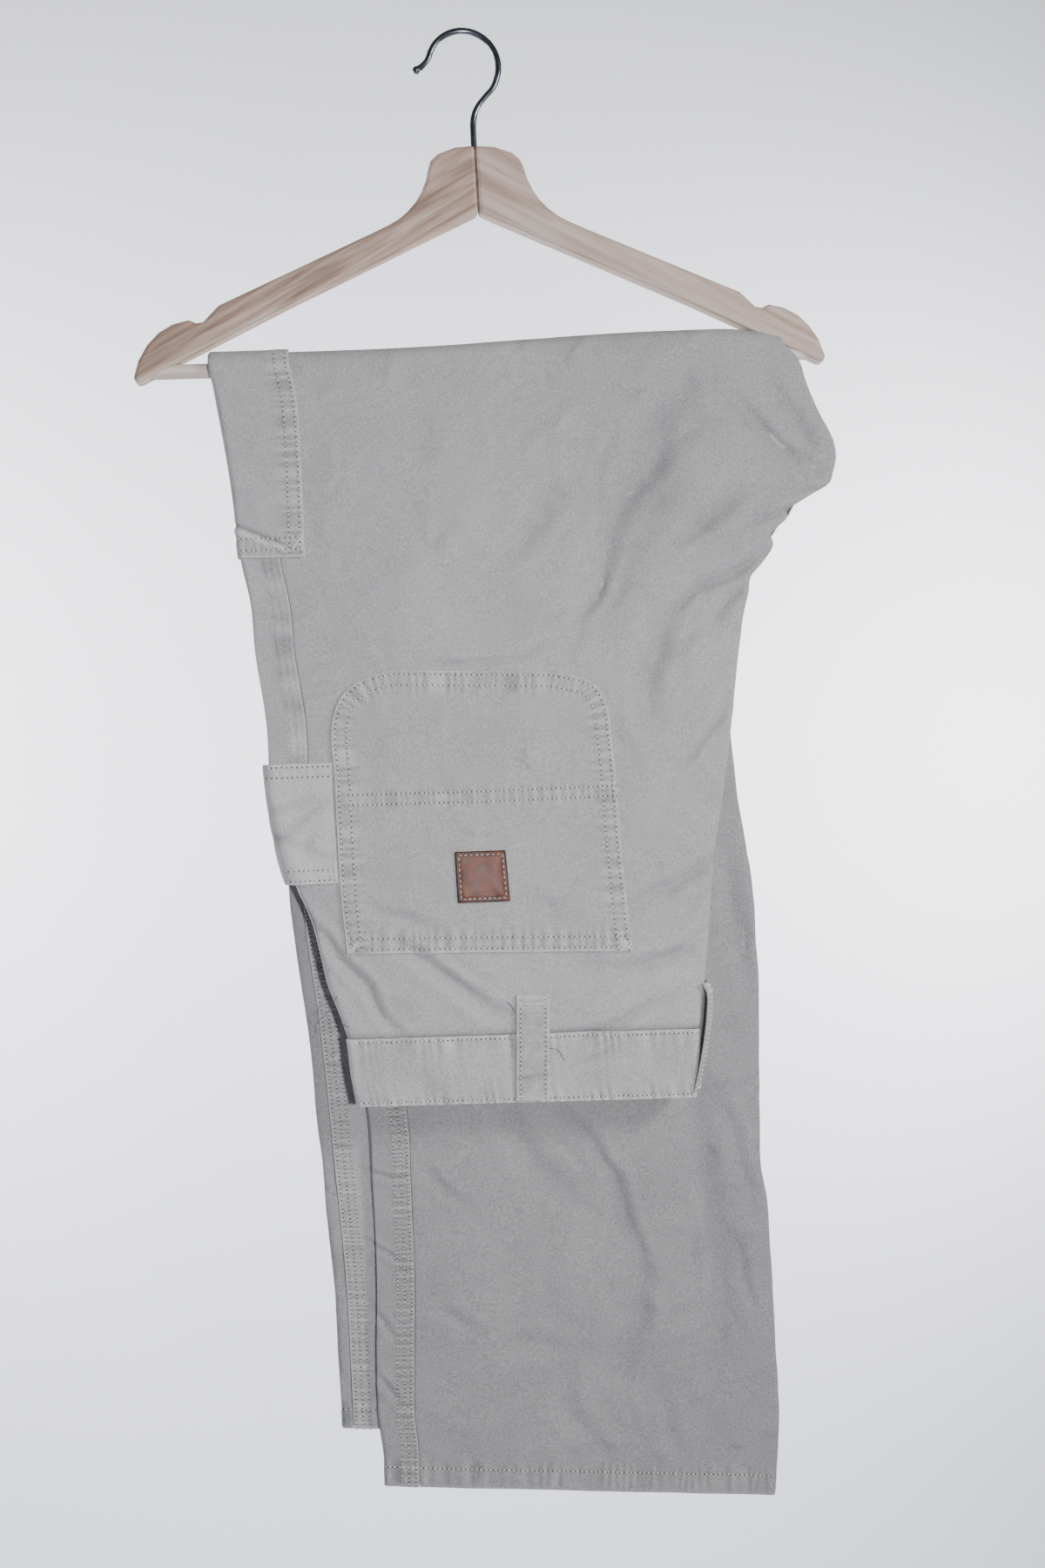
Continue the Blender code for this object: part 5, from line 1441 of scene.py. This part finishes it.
def sew_loops(made, back_loop, thread, hole_shadow):
    """A row down both sides of each belt loop, and bartacks across its ends."""
    sewing = Sewing()
    for number, (loop, cloth) in enumerate(zip(BELT_LOOPS, made)):
        for x in (loop.x - LOOP_WIDTH / 2 + LOOP_ROW, loop.x + LOOP_WIDTH / 2 - LOOP_ROW):
            down = dense_path(((x, loop.top - 0.5), (x, loop.base + 0.5)))
            sewing.row(cloth.spot_over(down), PITCH["belt loop"], 370 + number)
        for z in (*(loop.top - tack for tack in LOOP_TOP_TACKS), loop.base + LOOP_BASE_TACK):
            bar = dense_path(((loop.x - LOOP_WIDTH / 2 + 1.5, z), (loop.x + LOOP_WIDTH / 2 - 1.5, z)))
            sewing.tack(cloth.spot_over(bar), 1.7, 0.6, 0.2)
    last_row, last_column = (size - 1.0 for size in back_loop.across.shape)
    for share in (0.125, 0.875):
        line = back_loop.spot(np.linspace(0.3, last_row - 0.3, 80), share * last_column)
        sewing.row(line, PITCH["belt loop"], 380)
    for row in (1.8, 4.6, last_row - 2.0):
        sewing.tack(back_loop.spot(row, np.linspace(1.0, last_column - 1.0, 20)), 1.7, 0.6, 0.2)
    return sewing.build("belt_loop_stitches", thread, hole_shadow)


def bent_wire(name, points, radius, finish, steps_between):
    """A round wire or thread through points, from a Bezier curve with its ends closed."""
    deselect()
    bpy.ops.curve.primitive_bezier_curve_add(radius=1.0)
    piece = bpy.context.object
    piece.name = name
    piece.data.name = name
    spline = piece.data.splines[0]
    spline.bezier_points.add(len(points) - len(spline.bezier_points))
    for knot, point in zip(spline.bezier_points, points):
        knot.handle_left_type = knot.handle_right_type = "AUTO"
        knot.co = np.array(point, float) * MM
    piece.data.resolution_u = steps_between
    piece.data.bevel_depth = radius * MM
    piece.data.bevel_resolution = 4 if radius > 1 else 1
    piece.data.use_fill_caps = True
    piece.location = (0.0, 0.0, 0.0)
    bpy.ops.object.convert(target="MESH")
    piece.data.materials.clear()
    piece.data.materials.append(finish)
    soft_edges(piece)
    return piece


def loose_threads(sewing, finish):
    """Frayed ends of thread, joined to the waistband's sewing."""
    ends = [bent_wire(f"loose_thread_{number + 1}", points, LOOSE_THREAD_RADIUS, finish, 6)
            for number, points in enumerate(LOOSE_THREADS)]
    choose(sewing, ends)
    bpy.ops.object.join()


# ---------------------------------------------------------------- the hanger
def hook_points():
    """The wire's middle from its foot in the wood, round the crown, to its bent tip."""
    foot = [hanger_point(0, height) for height in HOOK_FOOT]
    turns = [math.radians(CROWN_START + CROWN_TURN * part / CROWN_POINTS) for part in range(CROWN_POINTS + 1)]
    x, z = CROWN_CENTRE
    crown = tuple((x + CROWN_RADIUS * math.cos(turn), z + CROWN_RADIUS * math.sin(turn)) for turn in turns)
    return foot + [np.array((x, 0.0, z)) for x, z in HOOK_THROAT + crown + HOOK_END]


def hanger_hook(chrome):
    """A wire hook with a ball on its tip."""
    hook = bent_wire("hook_wire", hook_points(), WIRE_RADIUS, chrome, 10)
    deselect()
    tip = HOOK_END[-1]
    bpy.ops.mesh.primitive_uv_sphere_add(segments=24, ring_count=16, radius=HOOK_BALL_RADIUS * MM,
                                         location=(tip[0] * MM, 0.0, tip[1] * MM))
    ball = bpy.context.object
    ball.scale = (1.0, 1.0, HOOK_BALL_FLATNESS)
    bpy.ops.object.transform_apply(location=True, rotation=True, scale=True)
    ball.data.materials.append(chrome)
    ball.data.shade_smooth()
    choose(hook, [ball])
    bpy.ops.object.join()
    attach(hook, "root")
    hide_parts("hanger_hook")


def hanger_wood():
    """Beech arms and bar, each with its grain along its own slope, the left arm in darker tones than the
    right, and the bar in paler tones as painted light.
    """
    for name, slope, tones in (
            ("hanger_arm_left", HANGER_TILT + ARM_SLOPE, ("#7d6253", "#b09688", "#cdb8ad")),
            ("hanger_arm_right", HANGER_TILT - ARM_SLOPE, ("#9f8679", "#bba599", "#cab9b0")),
            # the bar in paler tones than the arms: painted light on its end, which shows beside the cloth
            ("hanger_bar", HANGER_TILT, ("#bdaba0", "#d6c7bf", "#e2d8d2"))):
        finish_node(name, pale_beech("sanded beech of " + name.replace("_", " "), slope, tones))


def finish_node(name, finish):
    for slot in bpy.data.objects[name].material_slots:
        slot.material = finish


# ---------------------------------------------------------------- finishes
def linear(text):
    """Blender's linear colour of an sRGB hex value."""
    channels = [int(text[i:i + 2], 16) / 255 for i in (1, 3, 5)]
    return [c / 12.92 if c <= 0.04045 else ((c + 0.055) / 1.055) ** 2.4 for c in channels] + [1.0]


def feed(tree, node, inputs):
    """Each input gets a value or a link from another node's output."""
    for key, value in inputs.items():
        if isinstance(value, bpy.types.NodeSocket):
            tree.links.new(value, node.inputs[key])
        else:
            node.inputs[key].default_value = value


def add(tree, kind, inputs=None, stops=(), **settings):
    """A node with its settings and links, and the stops of its colours where it has them."""
    node = tree.nodes.new("ShaderNode" + kind)
    for name, value in settings.items():
        setattr(node, name, value)
    feed(tree, node, inputs or {})
    for number, (position, colour) in enumerate(stops):
        if number == len(node.color_ramp.elements):
            node.color_ramp.elements.new(position)
        node.color_ramp.elements[number].position = position
        node.color_ramp.elements[number].color = linear(colour)
    return node


def new_finish(name):
    material = bpy.data.materials.new(name)
    material.use_nodes = True
    tree = material.node_tree
    return material, tree, add(tree, "TexCoord").outputs["Object"]


def washed_canvas():
    """Washed cotton canvas: matt, faintly mottled by washing, paler on worn raised bars, with a fine weave,
    and painted light and shade from the shade attribute.
    """
    material, tree, place = new_finish("washed cotton canvas")
    flat = add(tree, "UVMap", uv_map="flat")
    # the shade attribute holds wear together with painted light and shade
    painted_wear_and_shade = add(tree, "Attribute", attribute_name="shade")
    # clouds left by washing about 45 mm wide, and slubs and faded flecks about 1 mm long
    clouds = add(tree, "TexNoise", {"Vector": place, "Scale": 22.0, "Detail": 6.0, "Roughness": 0.7})
    flecks = add(tree, "TexNoise", {"Vector": place, "Scale": 900.0, "Detail": 2.0})
    clouded = add(tree, "Math", {0: clouds.outputs["Fac"], 1: 0.32, 2: 0.34}, operation="MULTIPLY_ADD")
    flecked = add(tree, "Math", {0: flecks.outputs["Fac"], 1: 1.0, 2: -0.5}, operation="MULTIPLY_ADD")
    mottle = add(tree, "Math", {0: clouded.outputs["Value"], 1: flecked.outputs["Value"]}, operation="ADD")
    tone = add(tree, "Math", {0: painted_wear_and_shade.outputs["Fac"], 1: 0.5, 2: mottle.outputs["Value"]},
               operation="MULTIPLY_ADD")
    colour = add(tree, "ValToRGB", {"Fac": tone.outputs["Value"]},
                 ((0.0, "#7e7e80"), (0.5, "#a5a5a7"), (1.0, "#c9c9cb")))
    # threads 0.55 mm apart, drawn 0.9 mm apart so that they still show
    threads = [add(tree, "TexWave", {"Vector": flat.outputs["UV"], "Scale": 2 * math.pi / (20 * 0.0009),
                                     "Distortion": 1.5, "Detail": 1.0}, bands_direction=way) for way in "XY"]
    weave = add(tree, "Math", {number: thread.outputs["Fac"] for number, thread in enumerate(threads)},
                operation="MULTIPLY")
    # crinkles left by washing, 10 to 30 mm apart
    crinkle = add(tree, "TexNoise", {"Vector": place, "Scale": 30.0, "Detail": 4.0, "Roughness": 0.62,
                                     "Distortion": 0.8}, noise_type="RIDGED_MULTIFRACTAL")
    crumpled = add(tree, "Bump", {"Height": crinkle.outputs["Fac"], "Strength": 1.0, "Distance": 0.003})
    bump = add(tree, "Bump", {"Height": weave.outputs["Value"], "Strength": 0.45, "Distance": 0.00014,
                              "Normal": crumpled.outputs["Normal"]})
    feed(tree, tree.nodes["Principled BSDF"], {
        "Base Color": colour.outputs["Color"], "Normal": bump.outputs["Normal"], "Roughness": 0.92,
        "Sheen Weight": 0.12, "Sheen Roughness": 0.5, "Specular IOR Level": 0.25})
    return material


def spun_thread(name, colour, dark):
    """Spun sewing thread: matt, its colour uneven over about 3 mm of the seam."""
    material, tree, place = new_finish(name)
    uneven = add(tree, "TexNoise", {"Vector": place, "Scale": 300.0, "Detail": 2.0})
    tones = add(tree, "ValToRGB", {"Fac": uneven.outputs["Fac"]}, ((0.3, dark), (0.6, colour)))
    feed(tree, tree.nodes["Principled BSDF"], {
        "Base Color": tones.outputs["Color"], "Roughness": 0.85, "Sheen Weight": 0.2})
    return material


def pale_beech(name, slope, tones):
    """Sanded beech: pale and slightly pink, with long faint grain and short dark flecks along the slope."""
    material, tree, place = new_finish(name)
    turned = add(tree, "Mapping", {"Vector": place, "Rotation": (0.0, slope, 0.0)}).outputs["Vector"]
    drawn = add(tree, "Mapping", {"Vector": turned, "Scale": (0.06, 1.0, 1.0)}).outputs["Vector"]
    # grain lines about 4 mm apart, broad bands about 17 mm apart, and flecks 3 mm long and 0.4 mm wide
    grain = add(tree, "TexNoise", {"Vector": drawn, "Scale": 240.0, "Detail": 5.0, "Roughness": 0.6,
                                   "Distortion": 0.4})
    bands = add(tree, "TexNoise", {"Vector": drawn, "Scale": 60.0, "Detail": 2.0})
    drawn_fleck = add(tree, "Mapping", {"Vector": turned, "Scale": (0.14, 1.0, 1.0)})
    flecks = add(tree, "TexVoronoi", {"Vector": drawn_fleck.outputs["Vector"], "Scale": 900.0})
    body = add(tree, "Math", {0: grain.outputs["Fac"], 1: 0.6, 2: 0.0}, operation="MULTIPLY_ADD")
    tone = add(tree, "Math", {0: bands.outputs["Fac"], 1: 0.4, 2: body.outputs["Value"]},
               operation="MULTIPLY_ADD")
    wood = add(tree, "ValToRGB", {"Fac": tone.outputs["Value"]}, tuple(zip((0.34, 0.48, 0.6), tones)))
    spots = add(tree, "ValToRGB", {"Fac": flecks.outputs["Distance"]}, ((0.0, "#b8a498"), (0.16, "#ffffff")))
    both = add(tree, "Mix", {"Factor": 0.5, "A": wood.outputs["Color"], "B": spots.outputs["Color"]},
               data_type="RGBA", blend_type="MULTIPLY")
    bump = add(tree, "Bump", {"Height": grain.outputs["Fac"], "Strength": 0.25, "Distance": 0.0002})
    feed(tree, tree.nodes["Principled BSDF"], {
        "Base Color": both.outputs["Result"], "Normal": bump.outputs["Normal"], "Roughness": 0.55})
    return material


def smooth_leather():
    """Vegetable-tanned leather: red-brown, half gloss on a fine pebbled grain, darker at its border, with
    painted shade in its stitched groove.
    """
    material, tree, place = new_finish("vegetable tanned leather")
    shaded_groove_and_border = add(tree, "Attribute", attribute_name="shade")
    # clouds about 6 mm wide and pebbles of the grain 0.8 mm wide
    clouds = add(tree, "TexNoise", {"Vector": place, "Scale": 160.0, "Detail": 5.0})
    grain = add(tree, "TexVoronoi", {"Vector": place, "Scale": 1250.0})
    tone = add(tree, "Math", {0: shaded_groove_and_border.outputs["Fac"], 1: 0.5, 2: clouds.outputs["Fac"]},
               operation="MULTIPLY_ADD")
    colour = add(tree, "ValToRGB", {"Fac": tone.outputs["Value"]},
                 ((0.1, "#2c1712"), (0.38, "#532b20"), (0.55, "#6c3d2e"), (0.75, "#7f4d3b")))
    bump = add(tree, "Bump", {"Height": grain.outputs["Distance"], "Strength": 0.4, "Distance": 0.00015})
    gloss = add(tree, "MapRange", {"Value": clouds.outputs["Fac"], "To Min": 0.32, "To Max": 0.55})
    feed(tree, tree.nodes["Principled BSDF"], {
        "Base Color": colour.outputs["Color"], "Normal": bump.outputs["Normal"],
        "Roughness": gloss.outputs["Result"], "Specular IOR Level": 0.3})
    return material


def worn_metal(name, colour, dull, low, high):
    """Plated metal, dulled in soft spots about 4 mm wide."""
    material, tree, place = new_finish(name)
    spots = add(tree, "TexNoise", {"Vector": place, "Scale": 260.0, "Detail": 4.0})
    tones = add(tree, "ValToRGB", {"Fac": spots.outputs["Fac"]}, ((0.35, dull), (0.6, colour)))
    gloss = add(tree, "MapRange", {"Value": spots.outputs["Fac"], "To Min": high, "To Max": low})
    feed(tree, tree.nodes["Principled BSDF"], {
        "Base Color": tones.outputs["Color"], "Roughness": gloss.outputs["Result"], "Metallic": 1.0})
    return material


def backdrop_paint():
    """Matt emulsion paint: pale, cool and even."""
    material = bpy.data.materials.new("matt backdrop paint")
    material.use_nodes = True
    feed(material.node_tree, material.node_tree.nodes["Principled BSDF"],
         {"Base Color": linear("#e6e8ee"), "Roughness": 0.95})
    return material


# ---------------------------------------------------------------- camera, light and stage
def camera():
    data = bpy.data.cameras.new("camera")
    eye = new_object("camera", data)
    eye.location = [value * MM for value in CAMERA_PLACE]
    eye.rotation_euler = (math.pi / 2, 0.0, -math.radians(CAMERA_TURN))
    data.sensor_width = CAMERA_SENSOR
    data.lens = CAMERA_LENS
    bpy.context.scene.camera = eye


def light(lamp):
    data = bpy.data.lights.new(lamp.name, "AREA")
    data.shape = "DISK"
    data.size = lamp.size
    data.energy = lamp.power
    item = new_object(lamp.name, data)
    item.location = lamp.place
    item.rotation_euler = (Vector(lamp.aim) - Vector(lamp.place)).to_track_quat("-Z", "Y").to_euler()
    item.visible_camera = False


def surround():
    """An even pale light from all round."""
    world = bpy.data.worlds.new("studio")
    bpy.context.scene.world = world
    world.use_nodes = True
    feed(world.node_tree, world.node_tree.nodes["Background"],
         {"Color": linear("#e9ebf0"), "Strength": SURROUND_STRENGTH})


def plane(name, place, slope, finish):
    deselect()
    bpy.ops.mesh.primitive_plane_add(size=STAGE_SIZE, location=place, rotation=(slope, 0.0, 0.0))
    surface = bpy.context.object
    surface.name = name
    surface.data.materials.append(finish)
    return surface


def studio():
    """A pale room: a small lamp by the camera, a large soft one from the right, and a lit backdrop."""
    for lamp in LAMPS:
        light(lamp)
    surround()
    paint = backdrop_paint()
    plane("floor", (0.0, 0.0, FLOOR_HEIGHT), 0.0, paint)
    plane("backdrop", (0.0, BACKDROP_PLACE, 0.0), math.pi / 2, paint)


# ---------------------------------------------------------------- the whole piece
camera()
studio()
canvas = washed_canvas()
brass = worn_metal("antique brass", "#8a7a5c", "#5f543f", 0.3, 0.5)
made_panels = panels(canvas)
made_pockets = pockets(canvas)
band = waistband(canvas)
side_pocket = tool_pocket(canvas)
strap = hammer_loop(canvas)
badge = patch(smooth_leather())
loops = belt_loops(canvas)
back_loop = centre_back_loop(canvas)
fly(canvas, brass)
pale = spun_thread("pale cotton thread", "#dededc", "#c6c5c3")
# dark discs of painted shadow where the thread goes into the cloth
hole_shadows = spun_thread("shaded needle holes", "#3e3d3d", "#302f2f")
sew_panels(made_panels, pale, hole_shadows)
sew_pockets(made_pockets, pale, hole_shadows)
band_thread = sew_band(band, pale, hole_shadows)
sew_tool_pocket(side_pocket, pale, hole_shadows)
sew_hammer_loop(strap, pale, hole_shadows)
sew_patch(badge, spun_thread("faded rose thread", "#d9b3a6", "#b98f82"), hole_shadows)
sew_loops(loops, back_loop, pale, hole_shadows)
loose_threads(band_thread, spun_thread("dark loose thread", "#55555a", "#3c3c40"))
hanger_hook(worn_metal("dulled chrome wire", "#7c7f88", "#5d6068", 0.16, 0.34))
hanger_wood()
finish_node("waist_button", brass)
